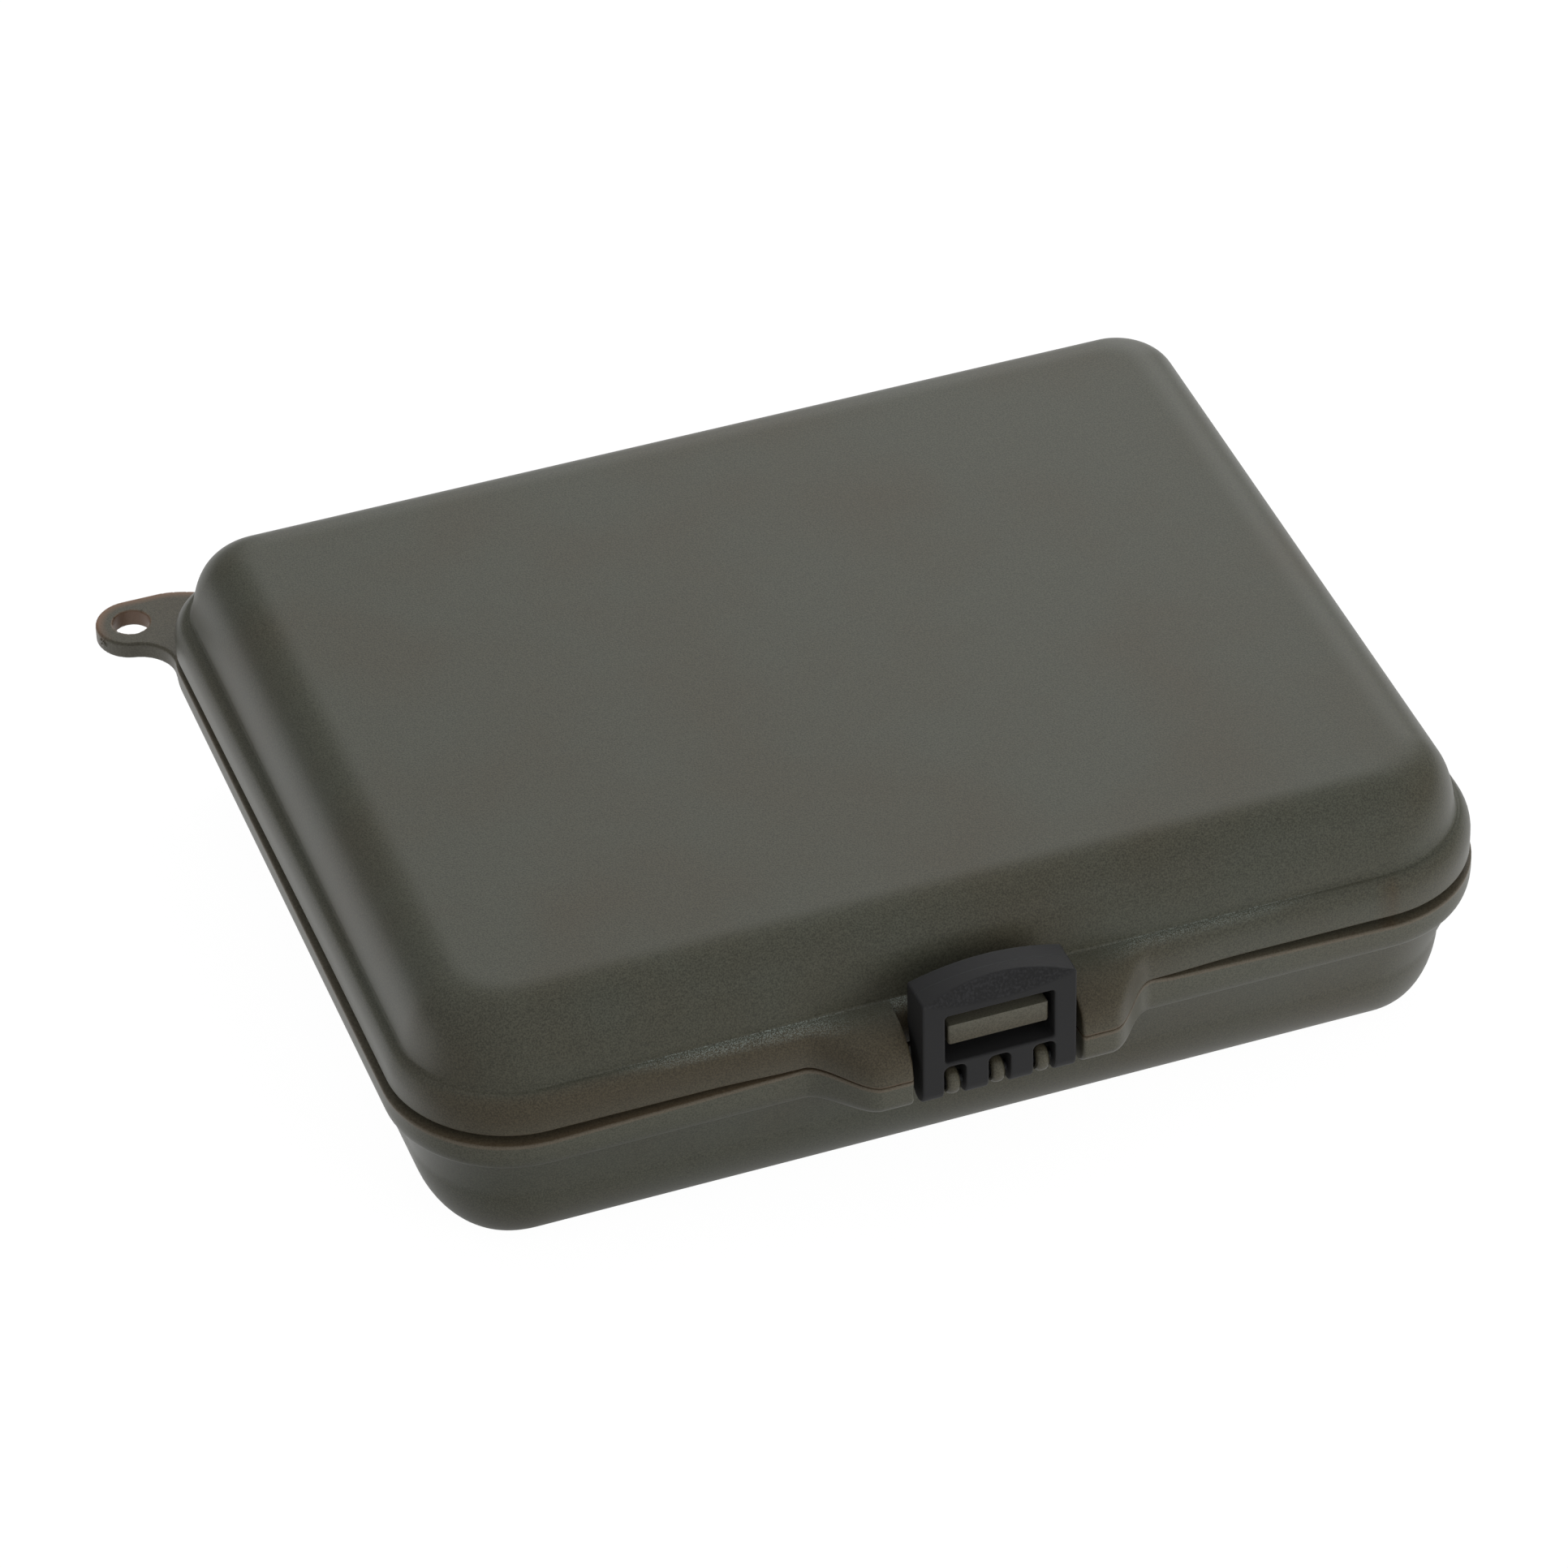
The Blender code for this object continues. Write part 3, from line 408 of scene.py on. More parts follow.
# Where the speckled band of painted highlight runs along the front.
BAND_START_X = 56 * MM
BAND_FULL_X = 38 * MM
RIGHT_BAND_SHARE = 0.75
SHOULDER_BAND_SHARE = 0.3
LEFT_DRAW, FRONT_DRAW, RIGHT_DRAW = 0.65 * MM, 0.45 * MM, 0.3 * MM
REAR_DRAW_SHARE = 0.25
DRAW_START_X = 25 * MM
DRAW_FULL_X = 38 * MM
DRAW_EASE_Y = -HALF_DEPTH / 2
SIDE_BROWN_SHARE = 0.15
RIGHT_CORNER_BROWN_SHARE = 0.4
BROWN_FULL_X = BOSS_INNER_X / 2
BROWN_FADE = 2 * BOSS_INNER_X
SHOULDER_RISE_SHARE = 0.14
RAMP_RISE_SHARE = 0.32
RAMP_END_X = 28 * MM
RAMP_END_EASE = 2 * MM
RAMP_START_EASE = 3 * MM

# corner: which corner the point belongs to. outward: the plan's outward direction there. along: a fixed place
# on a straight side. shoulder, rise and band: the shares of the boss, of the front's rise and of the speckled
# band, a painted highlight. tight: the share of a ring's radius that this corner has. draw: how far the lid's
# foot stands back. brown: the share of a ring's brown tone. soft: the share of the crease's filling, which is
# for the corners.
RIM_FIELDS = "corner outward along shoulder rise band tight draw brown soft"
RimPoint = namedtuple("RimPoint", RIM_FIELDS, defaults=(0, 0, 0, 1, 0, 0, 0))


def smooth(share):
    share = min(max(share, 0), 1)
    return share * share * (3 - 2 * share)


def between(first, second, share):
    return first + (second - first) * share


def side_draw(outward_x, y):
    """The lid's foot stands back from the rim at the sides, and less and less towards the rear."""
    at_side = between(FRONT_DRAW, LEFT_DRAW if outward_x < 0 else RIGHT_DRAW, smooth(abs(outward_x)))
    towards_rear = smooth((y - DRAW_EASE_Y) / (HALF_DEPTH - DRAW_EASE_Y))
    return at_side * between(1.0, REAR_DRAW_SHARE, towards_rear)


def side_brown(outward):
    """The skirt is brown in front and at the left corner, and hardly so at the sides and the back."""
    in_front = 1.0 if outward[0] < 0 else RIGHT_CORNER_BROWN_SHARE
    return between(SIDE_BROWN_SHARE, in_front, smooth(-outward[1]))


def corner_points(sign_x, sign_y, start_degrees):
    points = []
    for step in range(CORNER_STEPS + 1):
        angle = math.radians(start_degrees + 90 * step / CORNER_STEPS)
        outward = (math.cos(angle), math.sin(angle), 0)
        point = RimPoint((sign_x, sign_y, 0), outward, (0, 0, 0))
        tight = REAR_CORNER_SHARE if sign_y > 0 else 1
        draw = side_draw(outward[0], sign_y * HALF_DEPTH)
        soft = math.sin(math.pi * step / CORNER_STEPS)
        points.append(point._replace(tight=tight, draw=draw, brown=side_brown(outward), soft=soft))
    return points


def straight_points(half_run, direction, outward):
    """Evenly spaced points of a plain side, between its two corners."""
    count = round(2 * half_run / SIDE_STEP)
    points = []
    for step in range(count + 1):
        place = Vector(direction) * half_run * (2 * step / count - 1)
        draw = side_draw(outward[0], place.y)
        points.append(RimPoint(outward, outward, tuple(place), draw=draw, brown=side_brown(outward)))
    return points


def front_left_places():
    """(x, share of the shoulder) along the front's left half, from the corner to the middle."""
    places = []
    run = HALF_LENGTH - CORNER_REACH - BOSS_OUTER_X
    count = round(run / SIDE_STEP)
    for step in range(count):
        places.append((-HALF_LENGTH + CORNER_REACH + run * step / count, 0.0))
    for step in range(CORNER_STEPS + 1):
        share = step / CORNER_STEPS
        places.append((-BOSS_OUTER_X + (BOSS_OUTER_X - BOSS_INNER_X) * share, smooth(share)))
    places.append(((-BOSS_INNER_X - RECESS_HALF_WIDTH - RECESS_EDGE) / 2, 1.0))
    edge = RECESS_EDGE / BOSS_REACH
    for step in range(RECESS_EDGE_STEPS + 1):
        turn = math.radians(90 * step / RECESS_EDGE_STEPS)
        x = -RECESS_HALF_WIDTH - RECESS_DRAFT - RECESS_EDGE * (1 - math.sin(turn))
        places.append((x, 1 - edge * (1 - math.cos(turn))))
    for step in range(1, RECESS_EDGE_STEPS + 1):
        turn = math.radians(90 * step / RECESS_EDGE_STEPS)
        x = -RECESS_HALF_WIDTH + RECESS_DRAFT + RECESS_EDGE * (1 - math.cos(turn))
        places.append((x, edge * (1 - math.sin(turn))))
    places.append((-RECESS_HALF_WIDTH / 2, 0.0))
    return places


def front_points():
    left = front_left_places()
    places = left + [(0.0, 0.0)] + [(-x, share) for x, share in reversed(left)]
    corner_end = HALF_LENGTH - RIM_CORNER_RADIUS
    points = []
    for x, share in places:
        rise = min((corner_end - abs(x)) / (corner_end - BOSS_OUTER_X), 1)
        on_ramp = smooth((RAMP_END_X - x) / RAMP_END_EASE) * smooth((x - BOSS_INNER_X) / RAMP_START_EASE)
        rise += max(SHOULDER_RISE_SHARE * share, RAMP_RISE_SHARE * on_ramp)
        band = smooth((BAND_START_X - abs(x)) / (BAND_START_X - BAND_FULL_X))
        band *= (RIGHT_BAND_SHARE if x > 0 else 1) * between(1.0, SHOULDER_BAND_SHARE, share)
        draw = FRONT_DRAW * smooth((abs(x) - DRAW_START_X) / (DRAW_FULL_X - DRAW_START_X))
        brown = between(1.0, SIDE_BROWN_SHARE, smooth((x - BROWN_FULL_X) / BROWN_FADE))
        point = RimPoint((0, -1, 0), (0, -1, 0), (x, 0, 0), share, rise, band)
        points.append(point._replace(draw=draw, brown=brown))
    return points


def rim_points():
    side_run, back_run = HALF_DEPTH - CORNER_REACH, HALF_LENGTH - CORNER_REACH
    points = corner_points(-1, -1, 180) + front_points() + corner_points(1, -1, 270)
    points += straight_points(side_run, (0, 1, 0), (1, 0, 0)) + corner_points(1, 1, 0)
    points += straight_points(back_run, (-1, 0, 0), (0, 1, 0)) + corner_points(-1, 1, 90)
    return points + straight_points(side_run, (0, -1, 0), (-1, 0, 0))


def attribute_object(name, places, attributes):
    """Loose vertices at these places that carry attributes: {name: one number or vector for each vertex}."""
    mesh = bpy.data.meshes.new(name)
    mesh.from_pydata([tuple(place) for place in places], [], [])
    for key, values in attributes.items():
        is_vector = hasattr(values[0], "__len__")
        layer = mesh.attributes.new(key, "FLOAT_VECTOR" if is_vector else "FLOAT", "POINT")
        layer.data.foreach_set("vector" if is_vector else "value", np.array(values, float).ravel())
    return new_object(name, mesh)


def rim_line():
    points = rim_points()
    fields = [field for field in RIM_FIELDS.split() if field != "along"]
    attributes = {field: [getattr(point, field) for point in points] for field in fields}
    return attribute_object("rim_line", [point.along for point in points], attributes)


print("points on the rim line:", len(rim_points()))

# %% [markdown]
# ## The loft as a node tree
#
# The tree makes a grid with one row for each ring and one column for each rim point. One more column lies
# on the first, and the two are merged at the end. Sample Index nodes fetch what a vertex needs from the rim
# line and from the list of rings, and Set Position moves it to corner x (half size - inset - radius) +
# outward x radius + along, at the ring's height. A ring's number is multiplied by the share that the rim's
# point has of it. A few vector sums replace a hundred curves, and the named inputs still change the whole
# shell at once.

# %% Build the loft tree
FILL_OUT_SHARE, FILL_UP_SHARE = 0.77, 0.64
SEAM_DISTANCE = 1e-7
RING_SHARES = {"boss": "shoulder", "front_rise": "rise", "draw": "draw", "fill": "soft", "brown": "brown"}
LOFT_INPUTS = {
    "Rings": "NodeSocketObject",
    "Half Length": "NodeSocketFloat",
    "Half Depth": "NodeSocketFloat",
    "Parting Height": "NodeSocketFloat",
    "Material": "NodeSocketMaterial",
}


def sampled(tree, geometry, index, name, kind="FLOAT"):
    """A named attribute of another geometry, read at an index; with no name, its position."""
    if name:
        value = node(tree, "GeometryNodeInputNamedAttribute", {"Name": name}, data_type=kind)
    else:
        value = node(tree, "GeometryNodeInputPosition")
    inputs = {"Geometry": geometry, "Value": value, "Index": index}
    return node(tree, "GeometryNodeSampleIndex", inputs, data_type=kind, domain="POINT")


def loft_grid(tree, rim, rings):
    """The grid's mesh, and for each of its vertices the column's and the row's number."""
    size = "GeometryNodeAttributeDomainSize"
    rim_count, ring_count = [node(tree, size, {"Geometry": line}, "Point Count") for line in (rim, rings)]
    columns = node(tree, MATH, {0: rim_count, 1: 1.0}, operation="ADD")
    grid = node(tree, "GeometryNodeMeshGrid", {"Vertices X": columns, "Vertices Y": ring_count}, "Mesh")
    index = node(tree, "GeometryNodeInputIndex")
    column = node(tree, INTEGER_MATH, {0: index, 1: ring_count}, operation="DIVIDE_FLOOR")
    column = node(tree, INTEGER_MATH, {0: column, 1: rim_count}, operation="MODULO")
    return grid, column, node(tree, INTEGER_MATH, {0: index, 1: ring_count}, operation="MODULO")


def loft_tree():
    tree, given, result = new_tree("loft_through_rings", LOFT_INPUTS)
    rim = given["Geometry"]
    rings = node(tree, "GeometryNodeObjectInfo", {"Object": given["Rings"]}, "Geometry")
    skin, column, row = loft_grid(tree, rim, rings)
    taken = {}
    for of_ring, of_rim in RING_SHARES.items():
        inputs = {0: sampled(tree, rings, row, of_ring), 1: sampled(tree, rim, column, of_rim)}
        taken[of_ring] = node(tree, MATH, inputs, operation="MULTIPLY")

    # Where the plan's corner turns, and from there outwards, along the side and up.
    ring = sampled(tree, rings, row, "", "FLOAT_VECTOR")
    inset, ring_radius, height = node(tree, SEPARATE, {0: ring}).node.outputs
    radius = node(tree, MATH, {0: ring_radius, 1: sampled(tree, rim, column, "tight")}, operation="MULTIPLY")
    half = node(tree, COMBINE, {"X": given["Half Length"], "Y": given["Half Depth"]})
    for less in (inset, radius):
        inputs = {0: half, 1: node(tree, COMBINE, {"X": less, "Y": less})}
        half = node(tree, VECTOR_MATH, inputs, operation="SUBTRACT")
    corner = sampled(tree, rim, column, "corner", "FLOAT_VECTOR")
    outward = sampled(tree, rim, column, "outward", "FLOAT_VECTOR")
    along = sampled(tree, rim, column, "", "FLOAT_VECTOR")
    fill_out = node(tree, MATH, {0: taken["fill"], 1: FILL_OUT_SHARE}, operation="MULTIPLY")
    fill_up = node(tree, MATH, {0: taken["fill"], 1: FILL_UP_SHARE}, operation="MULTIPLY")
    out = node(tree, MATH, {0: fill_out, 1: taken["draw"]}, operation="SUBTRACT")
    round_corner = node(tree, VECTOR_MATH, {0: outward, "Scale": radius}, operation="SCALE")
    push = node(tree, VECTOR_MATH, {0: outward, "Scale": out}, operation="SCALE")
    lifts = (fill_up, height, taken["front_rise"], given["Parting Height"])
    place = node(tree, VECTOR_MATH, {0: corner, 1: half}, operation="MULTIPLY")
    for move in (round_corner, along, push, *(node(tree, COMBINE, {"Z": lift}) for lift in lifts)):
        place = node(tree, VECTOR_MATH, {0: place, 1: move}, operation="ADD")
    boss = node(tree, COMBINE, {"Y": taken["boss"]})
    place = node(tree, VECTOR_MATH, {0: place, 1: boss}, operation="SUBTRACT")
    skin = node(tree, "GeometryNodeSetPosition", {"Geometry": skin, "Position": place})

    # The speckled band, a painted highlight, needs both a ring near the crease and a place on the rim
    # where the band shows.
    inputs = {0: sampled(tree, rings, row, "crease"), 1: sampled(tree, rim, column, "band")}
    both = node(tree, MATH, inputs, operation="ADD")
    crease = node(tree, MAP_RANGE, {"Value": both, "From Min": 1.0, "From Max": 2.0})
    finish = {name: sampled(tree, rings, row, name) for name in ("edge", "thin")}
    finish.update(brown=taken["brown"], crease=crease)
    for name, value in finish.items():
        inputs = {"Geometry": skin, "Name": name, "Value": value}
        skin = node(tree, "GeometryNodeStoreNamedAttribute", inputs, data_type="FLOAT", domain="POINT")
    skin = node(tree, "GeometryNodeMergeByDistance", {"Geometry": skin, "Distance": SEAM_DISTANCE})
    return ended_tree(tree, skin, given, result)


loft = loft_tree()
print("nodes in the loft tree:", len(loft.nodes))

# %% [markdown]
# ## Rings into a closed shell
#
# A shell's list of rings runs from the edge of one flat face, round its walls, to the edge of its other
# flat face. The tree leaves those two flats open, and one bmesh call caps them. A spare ring just inside
# each cap keeps the cap's shading flat right up to the round. The rest of a ring's numbers are its finish:
# how far its points take the edge tone of wear and painted highlight, the crease's painted highlight, the
# brown tone and the painted glow.

# %% Loft a list of rings
Ring = namedtuple("Ring", "height inset radius boss rise edge crease brown thin draw fill", defaults=(0,) * 8)
CAP_MARGIN = 0.8 * MM


def quarter_round(steps):
    """(along, out) shares of a quarter round that leaves a wall: along grows first, out grows last."""
    for step in range(1, steps + 1):
        angle = math.pi / 2 * step / steps
        yield math.sin(angle), 1 - math.cos(angle)


def lofted_shell(name, rings, material):
    first, last = rings[0], rings[-1]
    rings = [first._replace(inset=first.inset + CAP_MARGIN)] + rings
    rings = rings + [last._replace(inset=last.inset + CAP_MARGIN)]
    finish = ("boss", "edge", "crease", "brown", "thin", "draw", "fill")
    attributes = {field: [getattr(ring, field) for ring in rings] for field in finish}
    attributes["front_rise"] = [ring.rise for ring in rings]
    places = [(ring.inset, ring.radius, ring.height) for ring in rings]
    ring_object = attribute_object(name + "_rings", places, attributes)
    shell = rim_line()
    shell.name = name
    apply_tree(
        shell,
        loft,
        rings=ring_object,
        half_length=HALF_LENGTH,
        half_depth=HALF_DEPTH,
        parting_height=PARTING_Z,
        material=material,
    )
    made_plain(shell)
    remove(ring_object)
    return smoothed(cleaned(shell, cap=True))


# %% [markdown]
# ## The tub
#
# The base is a drafted tub with a large round under it. Its rim is a proud band that tucks back to the wall
# in a soft quarter round, rises a millimetre towards the latch, and carries the sealing tongue inside. The
# two shoulders beside the latch are the same rings, pushed outwards by each ring's boss value. A box with
# Bevel and Solidify modifiers could make a tub too, but each of its many radii would need a bevel weight.
# In a list of rings every edge simply has its own.

# %% Build the tub
BAND_STRAIGHT = 1.7 * MM
BAND_HEIGHT = 4.6 * MM
BAND_TUCK = 0.85 * MM
BAND_STEP = 0.28 * MM
BAND_STEP_DROP = 0.08 * MM
BAND_STEPS = 10
RIM_EDGE = 0.3 * MM
FRONT_RIM_RISE = 1.0 * MM
BODY_INSET = 1.7 * MM
BODY_CORNER_RADIUS = 15.2 * MM
BODY_STRAIGHT = 11.9 * MM
BODY_TAPER_INSET = 3.7 * MM
UNDERSIDE_ROUND = 7.8 * MM
UNDERSIDE_CORNER_RADIUS = 3.1 * MM
BASE_BOSS_ROUND = 2.8 * MM
INNER_ROUND = 6.6 * MM
FLOOR = 2.0 * MM
ROUND_STEPS = 16
EDGE_STEPS = 4
# Edges are painted lighter, partly as wear and partly as a painted highlight.
STEP_WEAR_AND_HIGHLIGHT, BAND_WEAR_AND_HIGHLIGHT, TONGUE_WEAR = 0.7, 0.5, 0.8
TONGUE_ROOT_BROWN, TONGUE_BROWN = 0.7, 0.3
# A painted glow on the rim's top edge, where light comes through.
RIM_GLOW, RIM_GLOW_LOSS = 0.2, 0.1


def underside_rings(depth, inset, reach, radius):
    """The round between a wall and the flat that lies depth lower."""
    rings = []
    for along, out in quarter_round(ROUND_STEPS):
        ring_radius = between(radius, UNDERSIDE_CORNER_RADIUS, out)
        rings.append(Ring(-BODY_STRAIGHT - depth * along, inset + reach * out, ring_radius))
    return rings


def band_rings():
    """The rim band from its lower step up to its top edge."""
    rings = [Ring(-BAND_HEIGHT, BODY_INSET, BODY_CORNER_RADIUS)]
    for step in range(EDGE_STEPS, -1, -1):
        out = BAND_TUCK + BAND_STEP * (step / EDGE_STEPS)
        turn = math.radians(90 * (1 - step / EDGE_STEPS))
        height = -BAND_HEIGHT - BAND_STEP_DROP + BAND_STEP * math.sin(turn)
        ring = Ring(height, out, RIM_CORNER_RADIUS - out, BOSS_REACH - BASE_BOSS_ROUND)
        rings.append(ring._replace(edge=STEP_WEAR_AND_HIGHLIGHT))
    for step in range(BAND_STEPS - 1, -1, -1):
        share = step / BAND_STEPS
        out = 1 - math.sqrt(1 - share**2)
        height = -between(BAND_STRAIGHT, BAND_HEIGHT - BAND_STEP, share)
        inset = BAND_TUCK * out
        ring = Ring(height, inset, RIM_CORNER_RADIUS - inset, BOSS_REACH - BASE_BOSS_ROUND * out)
        rings.append(ring._replace(edge=BAND_WEAR_AND_HIGHLIGHT * (1 - share)))
    return rings


def rim_edge_rings():
    """The rounded top edge of the rim, which follows the rise at the front."""
    rings = [Ring(-2 * RIM_EDGE, 0, RIM_CORNER_RADIUS, BOSS_REACH, FRONT_RIM_RISE, BAND_WEAR_AND_HIGHLIGHT)]
    for step in range(EDGE_STEPS + 1):
        turn = math.radians(90 * step / EDGE_STEPS)
        inset = RIM_EDGE * (1 - math.cos(turn))
        height = RIM_EDGE * (math.sin(turn) - 1)
        ring = Ring(height, inset, RIM_CORNER_RADIUS - inset, BOSS_REACH, FRONT_RIM_RISE)
        inwards = step / EDGE_STEPS
        thin = RIM_GLOW - RIM_GLOW_LOSS * inwards
        rings.append(ring._replace(edge=1 - inwards, thin=thin, brown=inwards))
    return rings


def tub_rings():
    taper = Ring(-BODY_STRAIGHT, BODY_TAPER_INSET, BODY_CORNER_RADIUS)
    depth = PARTING_Z - BODY_STRAIGHT
    outside = underside_rings(depth, BODY_TAPER_INSET, UNDERSIDE_ROUND, BODY_CORNER_RADIUS)
    rings = list(reversed(outside)) + [taper] + band_rings() + rim_edge_rings()
    tongue_radius = RIM_CORNER_RADIUS - TONGUE_INSET
    cavity_radius = RIM_CORNER_RADIUS - CAVITY_INSET
    edge = RIM_EDGE
    rings.append(Ring(0, TONGUE_INSET, tongue_radius, 0, FRONT_RIM_RISE, brown=TONGUE_ROOT_BROWN))
    rings.append(Ring(TONGUE_HEIGHT - edge, TONGUE_INSET, tongue_radius, brown=TONGUE_BROWN))
    rings.append(Ring(TONGUE_HEIGHT, TONGUE_INSET + edge, tongue_radius - edge, edge=TONGUE_WEAR))
    rings.append(Ring(TONGUE_HEIGHT, CAVITY_INSET - edge, cavity_radius + edge, edge=TONGUE_WEAR))
    rings.append(Ring(TONGUE_HEIGHT - edge, CAVITY_INSET, cavity_radius))
    rings.append(Ring(-BAND_HEIGHT, CAVITY_INSET, cavity_radius))
    inner_inset = BODY_TAPER_INSET + WALL
    inner_radius = BODY_CORNER_RADIUS - WALL
    rings.append(Ring(-BODY_STRAIGHT, inner_inset, inner_radius))
    return rings + underside_rings(depth - FLOOR, inner_inset, INNER_ROUND, inner_radius)


tub = lofted_shell("tub", tub_rings(), olive)
print("tub:", len(tub.data.polygons), "faces")

# %% [markdown]
# ## The lid
#
# The lid drops over the tongue with a skirt, turns in at a concave crease, and swells up into a shallow
# dome with a flat top. From the ceiling the list of rings comes down past the guide lip and the seal's
# channel, and climbs the outside again. The shoulders hang from the crease in one soft convex curve. The
# moulding fills the crease a little at the corners, and along the front a band of light specks, a painted
# highlight, ends at the crease. A subdivided cage could make the dome, but only the tub's own loft gives
# the lid the same rim line.

# %% Build the lid
LID_GAP = 1.4 * MM
SKIRT_STRAIGHT = 4.0 * MM
SKIRT_EDGE = 0.3 * MM
CREASE_FILL = 0.45 * MM
CREASE_FILL_REACH = 1.0 * MM
CREASE_HEIGHT = 7.4 * MM
CREASE_INSET = 2.6 * MM
CREASE_CORNER_RADIUS = 15.4 * MM
CREASE_FILLET = 0.4 * MM
DOME_LEAN_DEGREES = 11
DOME_BEND_POWER = 2.5
DOME_EASE_POWER = 2
DOME_CORNER_POWER = 0.6
DOME_STEPS = 40
TOP_CORNER_RADIUS = 6.0 * MM
BOSS_ROUND_START = 0.9 * MM
BOSS_ROUND_POWER = 2.5
BAND_LOW, BAND_HIGH = 6.1 * MM, 7.5 * MM
# The skirt's foot edge is painted lighter, as wear and as a painted highlight, and warmed by a painted glow.
SKIRT_WEAR_AND_HIGHLIGHT, SKIRT_GLOW = 0.3, 0.3


def boss_at(height, inset):
    """How far the lid's shoulder stands out from the skirt at this height, as a soft round."""
    run = min(max((height - BOSS_ROUND_START) / (CREASE_HEIGHT - BOSS_ROUND_START), 0), 1)
    front = (BOSS_REACH + CREASE_INSET) * (1 - run**BOSS_ROUND_POWER) ** (1 / BOSS_ROUND_POWER)
    return max(front - (CREASE_INSET - inset), 0)


def crease_share(height):
    """How strongly the speckled painted highlight shows at this height: it grows from below and ends at the
    crease.
    """
    share = (height - BAND_LOW) / (BAND_HIGH - BAND_LOW)
    return max(share, 0.0) if height <= BAND_HIGH else 0.0


def crease_fill(height, inset):
    """How far the crease is filled at this place, where a corner softens it."""
    away = math.hypot(height - CREASE_HEIGHT, inset - CREASE_INSET)
    return CREASE_FILL * math.exp(-((away / CREASE_FILL_REACH) ** 2))


def skirt_rings():
    rings = []
    for step in range(EDGE_STEPS + 1):
        turn = math.radians(90 * step / EDGE_STEPS)
        inset = SKIRT_EDGE * (1 - math.sin(turn))
        height = LID_GAP + SKIRT_EDGE * (1 - math.cos(turn))
        boss = boss_at(height, inset)
        ring = Ring(height, inset, RIM_CORNER_RADIUS - inset, boss, edge=SKIRT_WEAR_AND_HIGHLIGHT, brown=1.0, draw=1.0)
        rings.append(ring._replace(thin=SKIRT_GLOW * (1 - step / EDGE_STEPS)))
    straight = Ring(SKIRT_STRAIGHT, 0, RIM_CORNER_RADIUS, boss_at(SKIRT_STRAIGHT, 0), brown=1.0)
    rings.append(straight._replace(draw=1.0))
    for along, out in quarter_round(ROUND_STEPS):
        height = between(SKIRT_STRAIGHT, CREASE_HEIGHT, along)
        inset = (CREASE_INSET - CREASE_FILLET) * out
        radius = between(RIM_CORNER_RADIUS, CREASE_CORNER_RADIUS, out)
        ring = Ring(height, inset, radius, boss_at(height, inset), brown=1 - out**2, draw=1 - out)
        rings.append(ring._replace(crease=crease_share(height), fill=crease_fill(height, inset)))
    return rings


def crease_rings():
    """The small fillet between the skirt's round and the dome."""
    rings = []
    for along, out in quarter_round(2 * EDGE_STEPS):
        height = CREASE_HEIGHT + CREASE_FILLET * out
        inset = CREASE_INSET - CREASE_FILLET * (1 - along)
        ring = Ring(height, inset, CREASE_CORNER_RADIUS, crease=crease_share(height))
        rings.append(ring._replace(fill=crease_fill(height, inset)))
    return rings


def dome_rings(depth):
    """The dome from the crease to the flat top, as its outside or at this depth below it."""
    tilts = []
    for step in range(DOME_STEPS):
        share = (step + 0.5) / DOME_STEPS
        bend = 1 - (1 - share**DOME_BEND_POWER) ** DOME_EASE_POWER
        tilts.append(math.radians(between(DOME_LEAN_DEGREES, 90, bend)))
    height, inset = CREASE_HEIGHT + CREASE_FILLET, CREASE_INSET
    step_length = (LID_HEIGHT - height) / sum(math.cos(tilt) for tilt in tilts)
    reach = step_length * sum(math.sin(tilt) for tilt in tilts)
    slopes = [(first + second) / 2 for first, second in zip(tilts, tilts[1:])] + [math.pi / 2]
    rings = []
    for tilt, slope in zip(tilts, slopes):
        height += step_length * math.cos(tilt)
        inset += step_length * math.sin(tilt)
        out = min((inset - CREASE_INSET) / reach, 1) ** DOME_CORNER_POWER
        radius = between(CREASE_CORNER_RADIUS, TOP_CORNER_RADIUS, out)
        inwards = depth * math.cos(slope)
        ring = Ring(height - depth * math.sin(slope), inset + inwards, radius - inwards)
        rings.append(ring._replace(fill=0 if depth else crease_fill(height, inset)))
    return rings


def lid_inside_rings():
    rings = [ring for ring in reversed(dome_rings(WALL)) if ring.inset > LIP_INSET]
    edge = SKIRT_EDGE
    channel = ((CREASE_HEIGHT, LIP_INSET), (LID_GAP + edge, LIP_INSET), (LID_GAP, LIP_INSET - edge))
    channel += ((LID_GAP, CHANNEL_INNER_INSET + edge), (LID_GAP + edge, CHANNEL_INNER_INSET))
    channel += ((CHANNEL_TOP, CHANNEL_INNER_INSET), (CHANNEL_TOP, SKIRT_WALL), (LID_GAP, SKIRT_WALL))
    for height, inset in channel:
        rings.append(Ring(height, inset, RIM_CORNER_RADIUS - inset))
    return rings


lid_outside = skirt_rings() + crease_rings() + dome_rings(0)
lid = lofted_shell("lid_cover", lid_inside_rings() + lid_outside, olive)
print("lid:", len(lid.data.polygons), "faces")

# %% [markdown]
# ## Flat mouldings with rounded edges
#
# The ear, the ribs under the latch, the hinge knuckles and the catch bar are all flat outlines with a
# thickness and a small radius on every edge. The ear has a field of its own below. For the others a 2D
# curve does it in one step: it fills the outline, extrudes it and bevels it. Its offset is negative, so
# that the bevel stays inside the drawn outline.

# %% A helper for flat mouldings
ARC_STEPS = 24
BEVEL_STEPS = 3
# For pieces that are drawn from the side: the drawing's x and y become the world's Y and Z.
SIDE_ON = Matrix(((0, 0, 1), (1, 0, 0), (0, 1, 0))).to_4x4()


